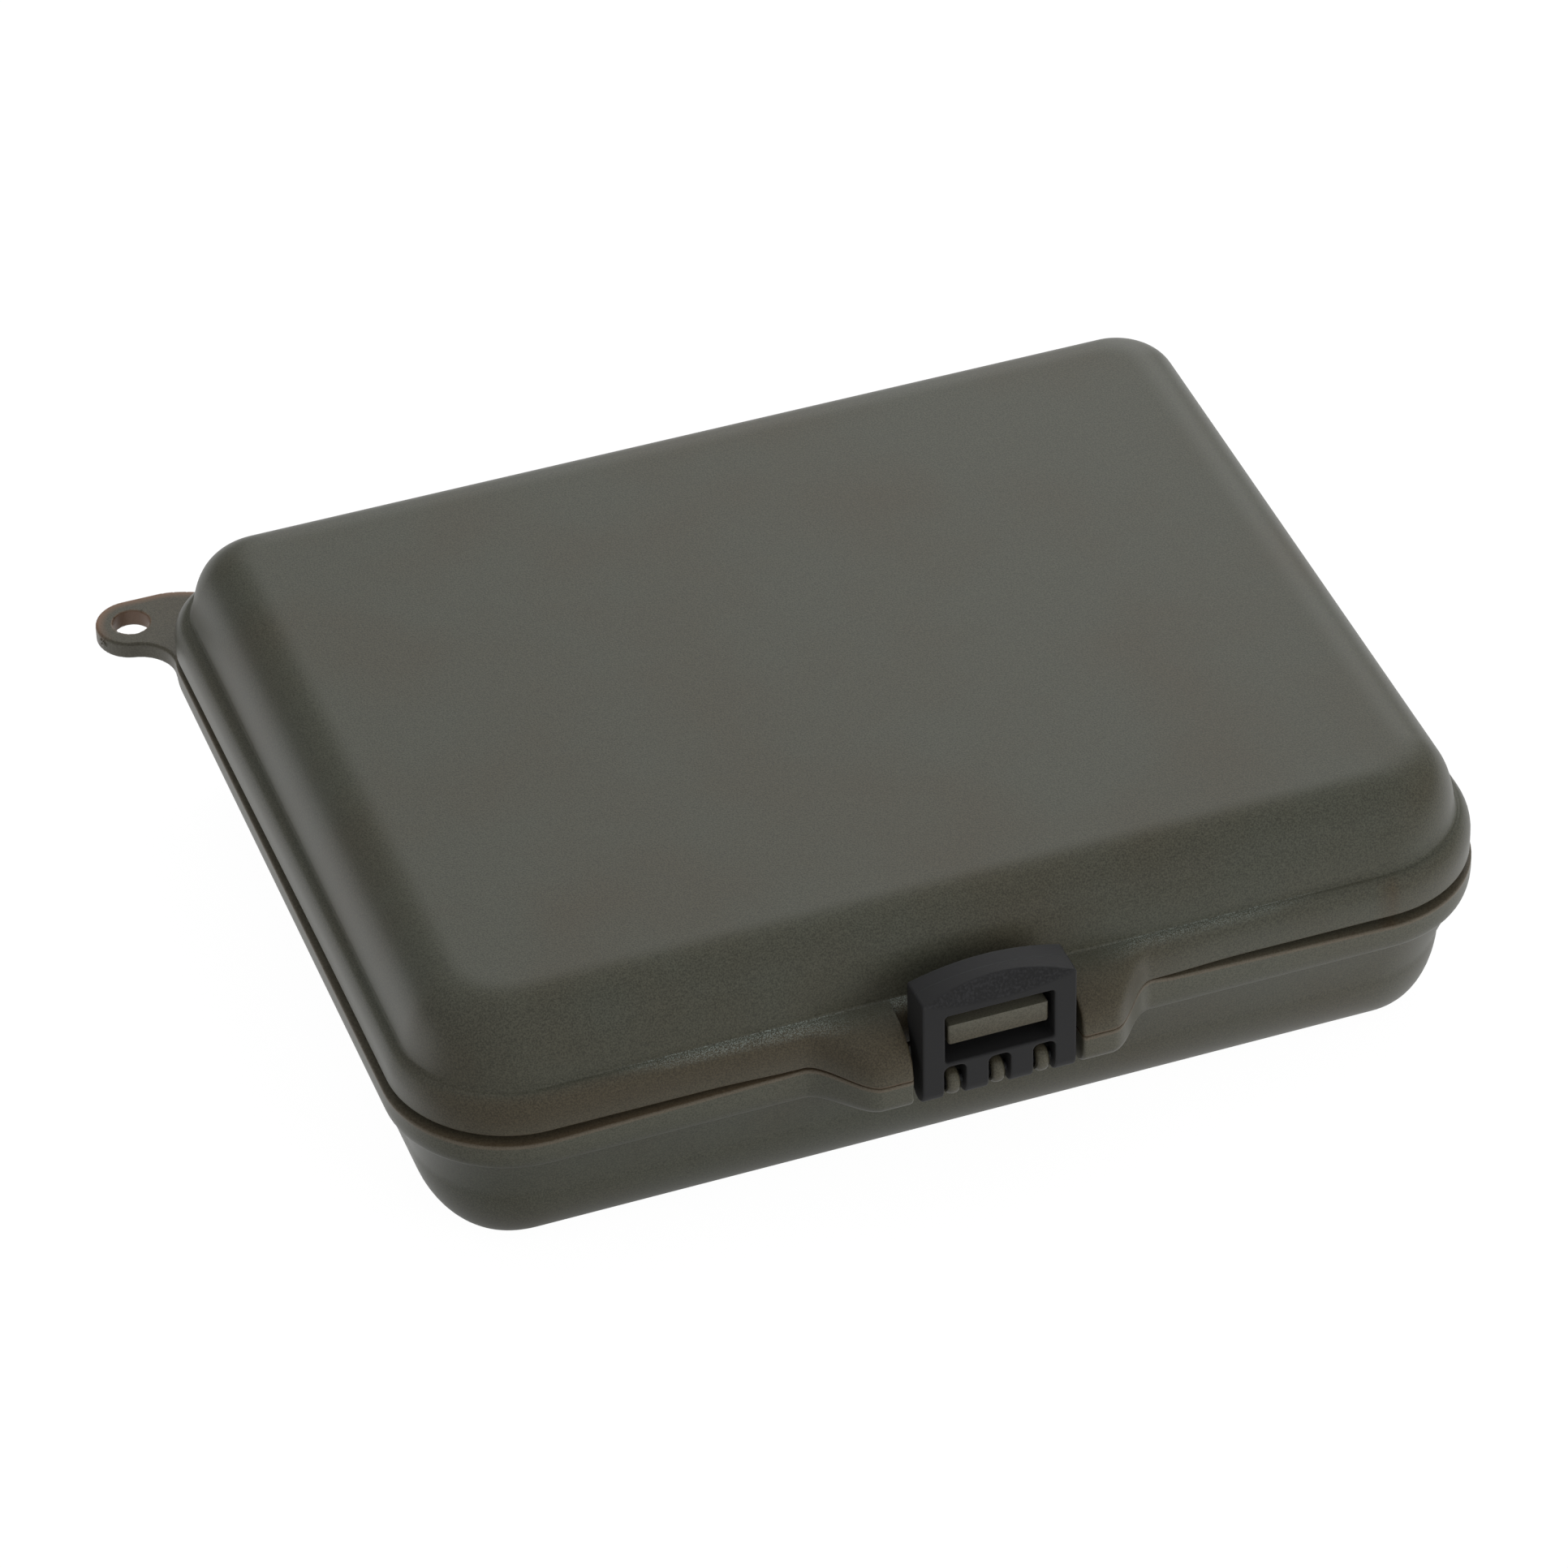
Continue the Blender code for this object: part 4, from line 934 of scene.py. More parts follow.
def arc(centre_x, centre_y, radius, start_degrees, end_degrees, steps=ARC_STEPS):
    points = []
    for step in range(steps + 1):
        angle = math.radians(between(start_degrees, end_degrees, step / steps))
        points.append((centre_x + radius * math.cos(angle), centre_y + radius * math.sin(angle)))
    return points


def flat_moulding(name, outlines, turn, thickness, edge, material):
    """The area inside the first outline and outside the others, this thick about turn's plane."""
    curve = bpy.data.curves.new(name, "CURVE")
    curve.dimensions = "2D"
    curve.fill_mode = "BOTH"
    curve.extrude = thickness / 2 - edge
    curve.bevel_depth = edge
    curve.bevel_resolution = BEVEL_STEPS
    curve.offset = -edge
    for points in outlines:
        spline = curve.splines.new("POLY")
        spline.points.add(len(points) - 1)
        spline.points.foreach_set("co", np.array([(x, y, 0, 1) for x, y in points], float).ravel())
        spline.use_cyclic_u = True
    drawing = new_object(name + "_drawing", curve)
    bpy.context.view_layer.update()
    mesh = bpy.data.meshes.new_from_object(drawing.evaluated_get(bpy.context.evaluated_depsgraph_get()))
    remove(drawing)
    mesh.materials.clear()
    mesh.materials.append(material)
    return smoothed(cleaned(new_object(name, mesh), weld=True, turn=turn))


# %% [markdown]
# ## Copies in a row
#
# Three ribs carry the latch's pin, and two hinges each have a lid knuckle between two base knuckles. One
# small tree makes all of them: it puts copies of the piece it is given in a row, centred on where that
# piece is. Stacked twice, the same tree makes pairs of pairs.

# %% Build the row tree
ROW_INPUTS = {
    "Count": "NodeSocketInt",
    "Pitch": "NodeSocketVector",
    "Material": "NodeSocketMaterial",
}


def row_tree():
    tree, given, result = new_tree("copies_in_a_row", ROW_INPUTS)
    gaps = node(tree, MATH, {0: given["Count"], 1: 1.0}, operation="SUBTRACT")
    back = node(tree, MATH, {0: gaps, 1: -0.5}, operation="MULTIPLY")
    start = node(tree, VECTOR_MATH, {0: given["Pitch"], "Scale": back}, operation="SCALE")
    inputs = {"Count": given["Count"], "Start Location": start, "Offset": given["Pitch"]}
    line = node(tree, "GeometryNodeMeshLine", inputs)
    copies = node(tree, "GeometryNodeInstanceOnPoints", {"Points": line, "Instance": given["Geometry"]})
    return ended_tree(tree, copies, given, result)


row = row_tree()
print("nodes in the row tree:", len(row.nodes))


def in_rows(piece, *rows, material):
    """Turns piece into rows of itself: each row is a count and a pitch vector."""
    for count, pitch in rows:
        apply_tree(piece, row, count=count, pitch=pitch, material=material)
    return made_plain(piece)


# %% [markdown]
# ## Ribs and hinge knuckles
#
# Each rib is a rounded nose round the latch's axis that runs back into the rim. The rear knuckles are
# barrels with an arm up to the lid or down to the base. All have a bore for their pin. They could be cut
# from blocks with Booleans, but as flat mouldings the bore is simply a second outline. The ribs' tone is
# painted on their points by a rule: brown all over, and worn at the front.

# %% Build the ribs and the knuckles
RIB_PITCH = 6.3 * MM
RIB_WIDTH = 1.9 * MM
RIB_RADIUS = 2.05 * MM
RIB_EDGE = 0.75 * MM
ROOT_DEPTH = 1.3 * MM
LATCH_PIN_RADIUS = 0.8 * MM
HINGE_PIN_RADIUS = 1.0 * MM
PIN_CLEARANCE = 0.1 * MM
HINGE_BARREL_RADIUS = 2.8 * MM
LID_KNUCKLE_LENGTH = 10 * MM
BASE_KNUCKLE_LENGTH = 6 * MM
HINGE_SIDE_CLEARANCE = 0.4 * MM
HINGE_ARM_SETBACK = 0.4 * MM
KNUCKLE_EDGE = 0.35 * MM
BORE_STEPS = 32
BARREL_STEPS = 48
RIB_COUNT, HINGE_COUNT, BASE_KNUCKLES_PER_HINGE = 3, 2, 2
RIB_BROWN, RIB_WEAR = 0.7, 0.5


def bore(centre_y, centre_z, radius):
    return arc(centre_y, centre_z, radius, 360, 0, BORE_STEPS)[:-1]


def rib_outline():
    root = -HALF_DEPTH + ROOT_DEPTH
    points = arc(LATCH_AXIS.y, LATCH_AXIS.z, RIB_RADIUS, 90, 270)
    return points + [(root, LATCH_AXIS.z - RIB_RADIUS), (root, LATCH_AXIS.z + RIB_RADIUS)]


def knuckle_outline(rises):
    """A barrel on the lid's axis, with an arm that rises to the lid or falls to the base."""
    side = 1 if rises else -1
    arm_edge = LID_GAP / 2 + HINGE_ARM_SETBACK
    root = HALF_DEPTH - ROOT_DEPTH
    meeting = 180 - math.degrees(math.asin(arm_edge / HINGE_BARREL_RADIUS))
    points = [(root, HINGE_BARREL_RADIUS)]
    points += arc(LID_AXIS.y, 0, HINGE_BARREL_RADIUS, 90, meeting - 360, BARREL_STEPS)
    points.append((root, arm_edge))
    points = [(y, LID_AXIS.z + side * z) for y, z in points]
    return points[::-1] if rises else points


latch_bore = bore(LATCH_AXIS.y, LATCH_AXIS.z, LATCH_PIN_RADIUS + PIN_CLEARANCE)
rib_drawing = [rib_outline()[::-1], latch_bore]
ribs = flat_moulding("latch_ribs", rib_drawing, SIDE_ON, RIB_WIDTH, RIB_EDGE, olive)
in_rows(ribs, (RIB_COUNT, (RIB_PITCH, 0, 0)), material=olive)

hinge_bore = bore(LID_AXIS.y, LID_AXIS.z, HINGE_PIN_RADIUS + PIN_CLEARANCE)
knuckle_pitch = LID_KNUCKLE_LENGTH + 2 * HINGE_SIDE_CLEARANCE + BASE_KNUCKLE_LENGTH
one_hinge = (BASE_KNUCKLES_PER_HINGE, (knuckle_pitch, 0, 0))
both_hinges = (HINGE_COUNT, (HINGE_SPACING, 0, 0))
base_drawing, lid_drawing = [[knuckle_outline(rises), hinge_bore] for rises in (False, True)]
base_knuckles = flat_moulding(
    "base_knuckles", base_drawing, SIDE_ON, BASE_KNUCKLE_LENGTH, KNUCKLE_EDGE, olive
)
in_rows(base_knuckles, one_hinge, both_hinges, material=olive)
lid_knuckles = flat_moulding("lid_knuckles", lid_drawing, SIDE_ON, LID_KNUCKLE_LENGTH, KNUCKLE_EDGE, olive)
in_rows(lid_knuckles, both_hinges, material=olive)
painted(ribs, "brown", lambda place: RIB_BROWN)
painted(ribs, "edge", lambda place: RIB_WEAR if place.y < LATCH_AXIS.y - RIB_RADIUS / 2 else 0.0)
for piece in (ribs, base_knuckles, lid_knuckles):
    smoothed(piece)
print("ribs and knuckles:", [len(piece.data.polygons) for piece in (ribs, base_knuckles, lid_knuckles)])

# %% [markdown]
# ## Ejector marks
#
# The pins that push a shell off its mould leave a faint ring each on the inside. They are not seen in the
# photograph, but an opened case without them looks unmade. A bump in the plastic could draw them. As flat
# mouldings that stand a tenth of a millimetre out of the floor or the ceiling they need no finish of their
# own, and the row tree repeats them.

# %% Build the ejector marks
EJECTOR_COLUMNS, EJECTOR_ROWS = 3, 2
EJECTOR_RADIUS = 3.0 * MM
EJECTOR_LINE = 0.35 * MM
EJECTOR_STAND = 0.1 * MM
EJECTOR_EDGE = 0.04 * MM
EJECTOR_PITCH = Vector((46, 54, 0)) * MM


def ejector_marks(name, height):
    outlines = [bore(0, 0, EJECTOR_RADIUS), bore(0, 0, EJECTOR_RADIUS - EJECTOR_LINE)]
    flat_frame = Matrix.Translation((0, 0, height))
    marks = flat_moulding(name, outlines, flat_frame, 2 * EJECTOR_STAND, EJECTOR_EDGE, olive)
    across, along = (EJECTOR_PITCH.x, 0, 0), (0, EJECTOR_PITCH.y, 0)
    return in_rows(marks, (EJECTOR_COLUMNS, across), (EJECTOR_ROWS, along), material=olive)


tub_marks = ejector_marks("tub_ejector_marks", FLOOR)
lid_marks = ejector_marks("lid_ejector_marks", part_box("lid_shell")[1].z - WALL)
print("ejector marks:", len(tub_marks.data.polygons), "faces in the tub and as many in the lid")

# %% [markdown]
# ## The catch bar
#
# The lid's catch is a stubby bar that stands in the latch's window. A bevelled cube would do, but the
# helper for flat mouldings is at hand: its outline is the bar's side view, and its small radius catches a
# line of light. The bar's top is painted lighter as well, a painted highlight along that line.

# %% Build the catch bar
CATCH_HALF_WIDTH = 7.1 * MM
CATCH_BOTTOM = 5.7 * MM
CATCH_TOP = 8.9 * MM
CATCH_REACH = 6.9 * MM
CATCH_EDGE = 0.4 * MM
CATCH_BROWN = 0.8


def catch_outline():
    root, front = -HALF_DEPTH + CREASE_INSET + WALL / 2, -HALF_DEPTH - CATCH_REACH
    low, high = PARTING_Z + CATCH_BOTTOM, PARTING_Z + CATCH_TOP
    return [(root, low), (root, high), (front, high), (front, low)]


catch = flat_moulding("catch_bar", [catch_outline()], SIDE_ON, 2 * CATCH_HALF_WIDTH, CATCH_EDGE, olive)
painted(catch, "brown", lambda place: CATCH_BROWN)
# The top is painted lighter: a painted highlight.
painted(catch, "edge", lambda place: 1.0 if place.z > PARTING_Z + CATCH_TOP - CATCH_EDGE else 0.0)
print("catch bar:", len(catch.data.polygons), "faces")

# %% [markdown]
# ## The latch as a distance field
#
# The latch is a small frame with a window, three slots, a hook, an arched top and a hollow scoop for the
# thumb, and every one of its edges has a small radius. Booleans and bevels fight each other on such a
# shape. A distance field doesn't: each feature is a formula for the distance to its surface, features are
# joined or cut with a rounded maximum, and the skin is drawn where the result is zero. It is drawn in
# cells: each cell that the surface crosses gets one point, which is then moved along the field's slope
# until it lies on the surface.

# %% Distance field helpers
SLOPE_SHARE = 1 / 8
SETTLE_ROUNDS = 6
LEAST_STEEPNESS = 0.05
MARGIN_CELLS = 1.5


def rounded_and(first, second, radius):
    """The overlap of two fields, with the edge between them rounded."""
    flat = np.minimum(np.maximum(first, second), -radius)
    return flat + np.hypot(np.maximum(first + radius, 0), np.maximum(second + radius, 0))


def cut(body, tool, radius):
    return rounded_and(body, -tool, radius)


def slab(value, low, high):
    return np.maximum(low - value, value - high)


def outline_distance(points, u, v):
    """The signed distance from (u, v) to a closed outline, negative inside."""
    inside = np.zeros(np.broadcast(u, v).shape, bool)
    nearest = np.full(inside.shape, np.inf)
    for (x0, y0), (x1, y1) in zip(points, points[1:] + points[:1]):
        run_x, run_y = x1 - x0, y1 - y0
        share = np.clip(((u - x0) * run_x + (v - y0) * run_y) / (run_x**2 + run_y**2), 0, 1)
        nearest = np.minimum(nearest, np.hypot(u - x0 - share * run_x, v - y0 - share * run_y))
        if run_y:
            inside ^= ((y0 > v) != (y1 > v)) & (u < x0 + (v - y0) * run_x / run_y)
    return np.where(inside, -nearest, nearest)


def gradient(field, places, reach):
    """The field's slope at these places, by small steps each way."""
    slopes = []
    for axis in range(3):
        step = np.zeros(3)
        step[axis] = reach
        slopes.append((field(*(places + step).T) - field(*(places - step).T)) / (2 * reach))
    return np.stack(slopes, 1)


def skin(name, field, low, high, cell):
    """A mesh on the zero of a field: one vertex for each crossed cell, then moved onto the surface."""
    starts = np.array(low) - MARGIN_CELLS * cell
    counts = np.ceil((np.array(high) - np.array(low)) / cell).astype(int) + int(2 * MARGIN_CELLS) + 1
    axes = [start + cell * np.arange(count) for start, count in zip(starts, counts)]
    inside = field(*np.meshgrid(*axes, indexing="ij")) < 0
    ends = (slice(None, -1), slice(1, None))
    corners = [inside[along, across, up] for along in ends for across in ends for up in ends]
    crossed = np.any(corners, 0) & ~np.all(corners, 0)
    number = np.full(crossed.shape, -1)
    number[crossed] = np.arange(crossed.sum())
    places = starts + cell * (np.argwhere(crossed) + 0.5)
    for _ in range(SETTLE_ROUNDS):
        slope = gradient(field, places, cell * SLOPE_SHARE)
        steepness = np.maximum((slope**2).sum(1), LEAST_STEEPNESS)
        step = slope * (field(*places.T) / steepness)[:, None]
        places -= np.clip(step, -cell / 2, cell / 2)
    faces = []
    for axis in range(3):
        count = inside.shape[axis]
        first, second = inside.take(range(count - 1), axis), inside.take(range(1, count), axis)
        spots = np.argwhere(first != second)
        ring = []
        for step_b, step_c in ((0, 0), (-1, 0), (-1, -1), (0, -1)):
            cell_index = spots.copy()
            cell_index[:, (axis + 1) % 3] += step_b
            cell_index[:, (axis + 2) % 3] += step_c
            ring.append(number[tuple(cell_index.T)])
        quads = np.stack(ring, 1)
        outward = first[first != second]
        quads[~outward] = quads[~outward][:, ::-1]
        faces.append(quads)
    mesh = bpy.data.meshes.new(name)
    mesh.from_pydata(places.tolist(), [], np.concatenate(faces).tolist())
    return new_object(name, mesh), places


def shaded_by_field(obj, field, places, cell):
    """Takes the shading normals from the field itself, so that small rounds look smooth."""
    obj.data.shade_smooth()
    slope = gradient(field, places, cell * SLOPE_SHARE)
    normals = slope / np.linalg.norm(slope, axis=1)[:, None]
    obj.data.normals_split_custom_set_from_vertices(normals.tolist())


# %% [markdown]
# ## Shape of the latch
#
# The field is written in the latch's own directions: x across, depth back from its front face, and height
# above the parting plane. The side outline is a round barrel that deepens to a straight back. The top is a
# shallow arch with a mould line along it, and the scoop is a tilted, slightly hollow slope cut off its
# front edge. The same formulas tell which points lie on an edge or on the scoop, so the wear and the grip
# follow the shape.

# %% Build the latch
BARREL_RADIUS = LATCH_AXIS.y - LATCH_FRONT_Y
AXIS_HEIGHT = LATCH_AXIS.z - PARTING_Z
WAIST_SHARE = 0.35
WAIST_HEIGHT = 3.0 * MM
BACK_HEIGHT = 7.05 * MM
LATCH_OVERRUN = 2 * MM
ARCH_DROP = 1.7 * MM
TOP_STEP = 0.1 * MM
TOP_STEP_RUN = 0.2 * MM
TOP_STEP_DEPTH = 3.25 * MM
WINDOW_HALF_WIDTH = 7.7 * MM
WINDOW_BOTTOM = 3.0 * MM
WINDOW_TOP = 11.1 * MM
WINDOW_CORNER = 0.5 * MM
HOOK_CLEARANCE = 0.3 * MM
HOOK_DEPTH = 3.7 * MM
CROSSBAR_HEIGHT = 0.7 * MM
SLOT_CLEARANCE = 0.6 * MM
SLOT_HALF_WIDTH = RIB_WIDTH / 2 + SLOT_CLEARANCE
SLOT_CORNER = 0.9 * MM
SCOOP_BOTTOM = 12.2 * MM
SCOOP_TOP_DEPTH = 1.65 * MM
SCOOP_HOLLOW = 0.64 * MM
SCOOP_HALF_WIDTH = 10.6 * MM
SCOOP_EDGE = 0.12 * MM
LATCH_EDGE = 0.3 * MM
SLOT_EDGE = 0.8 * LATCH_EDGE
LATCH_CELL = 0.2 * MM
WEAR_REACH = 0.2 * MM
WEAR_LEAST = 0.5
GRIP_SKIN = 0.06 * MM


def latch_side_outline():
    """(depth, height) points of the latch seen from the side."""
    points = arc(BARREL_RADIUS, AXIS_HEIGHT, BARREL_RADIUS, 180, 360)
    waist = between(2 * BARREL_RADIUS, LATCH_DEPTH, WAIST_SHARE)
    points += [(waist, WAIST_HEIGHT), (LATCH_DEPTH, BACK_HEIGHT)]
    above = LATCH_TOP + LATCH_OVERRUN
    return points + [(LATCH_DEPTH, above), (0, above)]


def arch_height(x, depth):
    """The latch's top: an arch across, with a fine step down behind the mould line."""
    behind = np.clip((depth - TOP_STEP_DEPTH) / TOP_STEP_RUN, 0, 1)
    return LATCH_TOP - ARCH_DROP * (x / LATCH_HALF_WIDTH) ** 2 - TOP_STEP * behind


def scoop_slope(x, depth, height):
    """The distance out of the scoop's hollow slope."""
    rise = LATCH_TOP - SCOOP_BOTTOM
    length = math.hypot(SCOOP_TOP_DEPTH, rise)
    out = (-rise * depth + SCOOP_TOP_DEPTH * (height - SCOOP_BOTTOM)) / length
    return out - SCOOP_HOLLOW * (x / SCOOP_HALF_WIDTH) ** 2


def latch_field(x, y, z):
    depth, height = y - LATCH_FRONT_Y, z - PARTING_Z
    body = outline_distance(latch_side_outline(), depth, height)
    body = rounded_and(body, np.abs(x) - LATCH_HALF_WIDTH, LATCH_EDGE)
    body = rounded_and(body, height - arch_height(x, depth), LATCH_EDGE)
    hook_height = CATCH_TOP + HOOK_CLEARANCE
    across = np.abs(x) - WINDOW_HALF_WIDTH
    low_part = rounded_and(across, slab(height, WINDOW_BOTTOM, hook_height), WINDOW_CORNER)
    high_part = rounded_and(across, slab(height, WINDOW_BOTTOM, WINDOW_TOP), WINDOW_CORNER)
    high_part = np.maximum(high_part, depth - (LATCH_DEPTH - HOOK_DEPTH))
    body = cut(body, np.minimum(low_part, high_part), LATCH_EDGE)
    from_slot = np.minimum(np.abs(x), np.abs(np.abs(x) - RIB_PITCH)) - SLOT_HALF_WIDTH
    slots = rounded_and(from_slot, height - (WINDOW_BOTTOM - CROSSBAR_HEIGHT), SLOT_CORNER)
    body = cut(body, slots, SLOT_EDGE)
    return rounded_and(body, scoop_slope(x, depth, height), SCOOP_EDGE)


def dressed_latch():
    low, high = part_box("latch")
    latch, places = skin("latch_frame", latch_field, low, high, LATCH_CELL)
    shaded_by_field(latch, latch_field, places, LATCH_CELL)
    shifts = np.vstack([np.eye(3), -np.eye(3)]) * WEAR_REACH
    around = sum(latch_field(*(places + shift).T) for shift in shifts)
    edge = np.clip(around / WEAR_REACH - WEAR_LEAST, 0, 1)
    x, depth, height = (places - (0, LATCH_FRONT_Y, PARTING_Z)).T
    grip = np.clip(1 - np.abs(scoop_slope(x, depth, height)) / GRIP_SKIN, 0, 1)
    for name, values in (("edge", edge), ("grip", grip)):
        latch.data.attributes.new(name, "FLOAT", "POINT").data.foreach_set("value", values)
    latch.data.materials.append(black)
    return latch


latch = dressed_latch()
print("latch:", len(latch.data.polygons), "faces")

# %% [markdown]
# ## The lanyard ear
#
# A flat tab with a hole stands out of the rim's rear left corner. It eases into the side with a fillet and
# into the back with a long S, and a torn stub at its tip shows where the plastic ran in. A bevelled curve
# would give the shape, but the same kind of field as the latch's also gives its flats points enough to
# carry a painted warm glow: light comes through the polypropylene at the rear edge and round the hole,
# where it is thinnest.

# %% Build the ear
EAR_HOLE_SIDE_OUTSET = 3.0 * MM
EAR_HOLE_REAR_OUTSET = 2.0 * MM
EAR_HOLE_RADIUS = 2.65 * MM
EAR_TIP_RADIUS = 5.1 * MM
EAR_THICKNESS = 2.6 * MM
EAR_DROP = 0.2 * MM
EAR_SIDE_FILLET = 5.6 * MM
EAR_REAR_START = 2.0 * MM
EAR_REAR_END = 21.0 * MM
EAR_OVERLAP = 1.5 * MM
EAR_EDGE = 0.35 * MM
EAR_HOLE_EDGE = 0.15 * MM
EAR_GLOW_REACH = 1.7 * MM
EAR_GLOW_DEPTH = 1.2 * MM
EAR_GLOW_BELOW = 0.3
EAR_GLOW_FORWARD_SHARE = 0.7
EAR_GLOW_LEAST = 0.08
HOLE_GLOW = 0.7
HOLE_GLOW_REACH = 0.3 * MM
GATE_HEADING = Vector((-0.92, -0.39)).normalized()
GATE_REACH = 0.1 * MM
GATE_HALF_WIDTH = 0.6 * MM
GATE_HALF_HEIGHT = 0.45 * MM
GATE_DROP = 1.0 * MM
TEAR_DEPTH = 0.12 * MM
TEAR_WIDTH, TEAR_HEIGHT = 0.11 * MM, 0.17 * MM
EAR_REAR_STEPS = 24
EAR_GRID_FRONT_Y = 40 * MM
EAR_CELL = 0.3 * MM
EAR_HOLE = (-HALF_LENGTH - EAR_HOLE_SIDE_OUTSET, HALF_DEPTH + EAR_HOLE_REAR_OUTSET)


def left_of_meeting(first, first_distance, second, second_distance):
    """The point at these distances from the two, on the left when looking from the first to the second."""
    way = second - first
    along = (first_distance**2 - second_distance**2 + way.length_squared) / (2 * way.length)
    aside = math.sqrt(first_distance**2 - along**2)
    unit = way.normalized()
    return first + along * unit + aside * Vector((-unit.y, unit.x))


def heading(start, end):
    return math.degrees(math.atan2(end.y - start.y, end.x - start.x))


def ear_outline():
    hole_x, hole_y = EAR_HOLE
    rim_radius = RIM_CORNER_RADIUS * REAR_CORNER_SHARE
    rim, hole = Vector((rim_radius - HALF_LENGTH, HALF_DEPTH - rim_radius)), Vector(EAR_HOLE)
    fillet = left_of_meeting(rim, EAR_SIDE_FILLET + rim_radius, hole, EAR_SIDE_FILLET + EAR_TIP_RADIUS)
    meeting, rim_heading = heading(fillet, hole), heading(fillet, rim)
    points = arc(fillet.x, fillet.y, EAR_SIDE_FILLET, rim_heading, meeting)
    points += arc(hole_x, hole_y, EAR_TIP_RADIUS, meeting + 180, 90)[1:]
    for step in range(1, EAR_REAR_STEPS + 1):
        share = step / EAR_REAR_STEPS
        x = -HALF_LENGTH + between(EAR_REAR_START, EAR_REAR_END, share)
        points.append((x, between(hole_y + EAR_TIP_RADIUS, HALF_DEPTH, smooth(share))))
    points.append((-HALF_LENGTH + EAR_REAR_END, HALF_DEPTH - EAR_OVERLAP))
    points += arc(rim.x, rim.y, rim_radius - EAR_OVERLAP, 90, rim_heading + 180)
    return points


def gate_stub(x, y, height):
    """The torn stub where the runner was broken off the ear's tip."""
    along = (x - EAR_HOLE[0]) * GATE_HEADING.x + (y - EAR_HOLE[1]) * GATE_HEADING.y
    across = (y - EAR_HOLE[1]) * GATE_HEADING.x - (x - EAR_HOLE[0]) * GATE_HEADING.y
    tear = TEAR_DEPTH * np.sin(across / TEAR_WIDTH) * np.cos(height / TEAR_HEIGHT)
    end = along - EAR_TIP_RADIUS - GATE_REACH + tear
    block = np.maximum(np.abs(across) - GATE_HALF_WIDTH, np.abs(height + GATE_DROP) - GATE_HALF_HEIGHT)
    return np.maximum(np.maximum(block, end), -along)


def ear_field(x, y, z):
    height = z - PARTING_Z + EAR_DROP
    tab = rounded_and(outline_distance(ear_outline(), x, y), slab(height, -EAR_THICKNESS, 0), EAR_EDGE)
    bored = EAR_HOLE_RADIUS - np.hypot(x - EAR_HOLE[0], y - EAR_HOLE[1])
    return rounded_and(np.minimum(tab, gate_stub(x, y, height)), bored, EAR_HOLE_EDGE)


def ear_glow(places):
    """Warm light at the rear edge and round the hole, and only a trace of it on the flat between them."""
    x, y, z = places.T
    from_edge = -outline_distance(ear_outline(), x, y)
    from_hole = np.hypot(x - EAR_HOLE[0], y - EAR_HOLE[1]) - EAR_HOLE_RADIUS
    behind = np.clip((y - EAR_HOLE[1]) / EAR_TIP_RADIUS + EAR_GLOW_FORWARD_SHARE, 0, 1)
    near_top = np.clip(1 + (z - PARTING_Z + EAR_DROP) / EAR_GLOW_DEPTH, EAR_GLOW_BELOW, 1)
    rear = np.clip(1 - from_edge / EAR_GLOW_REACH, 0, 1) * behind * near_top
    rim = HOLE_GLOW * np.clip(1 - from_hole / HOLE_GLOW_REACH, 0, 1)
    return np.maximum(np.maximum(rear, rim), EAR_GLOW_LEAST)


def dressed_ear():
    low = (EAR_HOLE[0] - EAR_TIP_RADIUS, EAR_GRID_FRONT_Y, PARTING_Z - EAR_DROP - EAR_THICKNESS)
    high = (-HALF_LENGTH + EAR_REAR_END, EAR_HOLE[1] + EAR_TIP_RADIUS, PARTING_Z - EAR_DROP)
    ear, places = skin("lanyard_ear", ear_field, low, high, EAR_CELL)
    shaded_by_field(ear, ear_field, places, EAR_CELL)
    # The warm glow where light comes through is painted into the ear's colour.
    ear.data.attributes.new("thin", "FLOAT", "POINT").data.foreach_set("value", ear_glow(places))
    ear.data.materials.append(olive)
    return ear


ear = dressed_ear()
print("ear:", len(ear.data.polygons), "faces")

# %% [markdown]
# ## The seal
#
# The seal is one moulded ring of soft rubber: a flat strip with two lips that the tongue presses into. It
# follows the rim, so a node tree sweeps its section along a filleted rectangle. The shells' loft could make
# it too, but a section drawn once and swept is the plain way for a strip.

# %% Build the seal
SEAL_OUTER_INSET = SKIRT_WALL + SEAL_CLEARANCE
SEAL_WIDTH = CHANNEL_INNER_INSET - SEAL_CLEARANCE - SEAL_OUTER_INSET
SEAL_LIP = 0.45 * MM
LIP_STEPS = 10
SEAL_SHARP_DEGREES = 50
SWEEP_INPUTS = {
    "Length": "NodeSocketFloat",
    "Depth": "NodeSocketFloat",
    "Corner Radius": "NodeSocketFloat",
    "Rear Share": "NodeSocketFloat",
    "Height": "NodeSocketFloat",
    "Material": "NodeSocketMaterial",
}


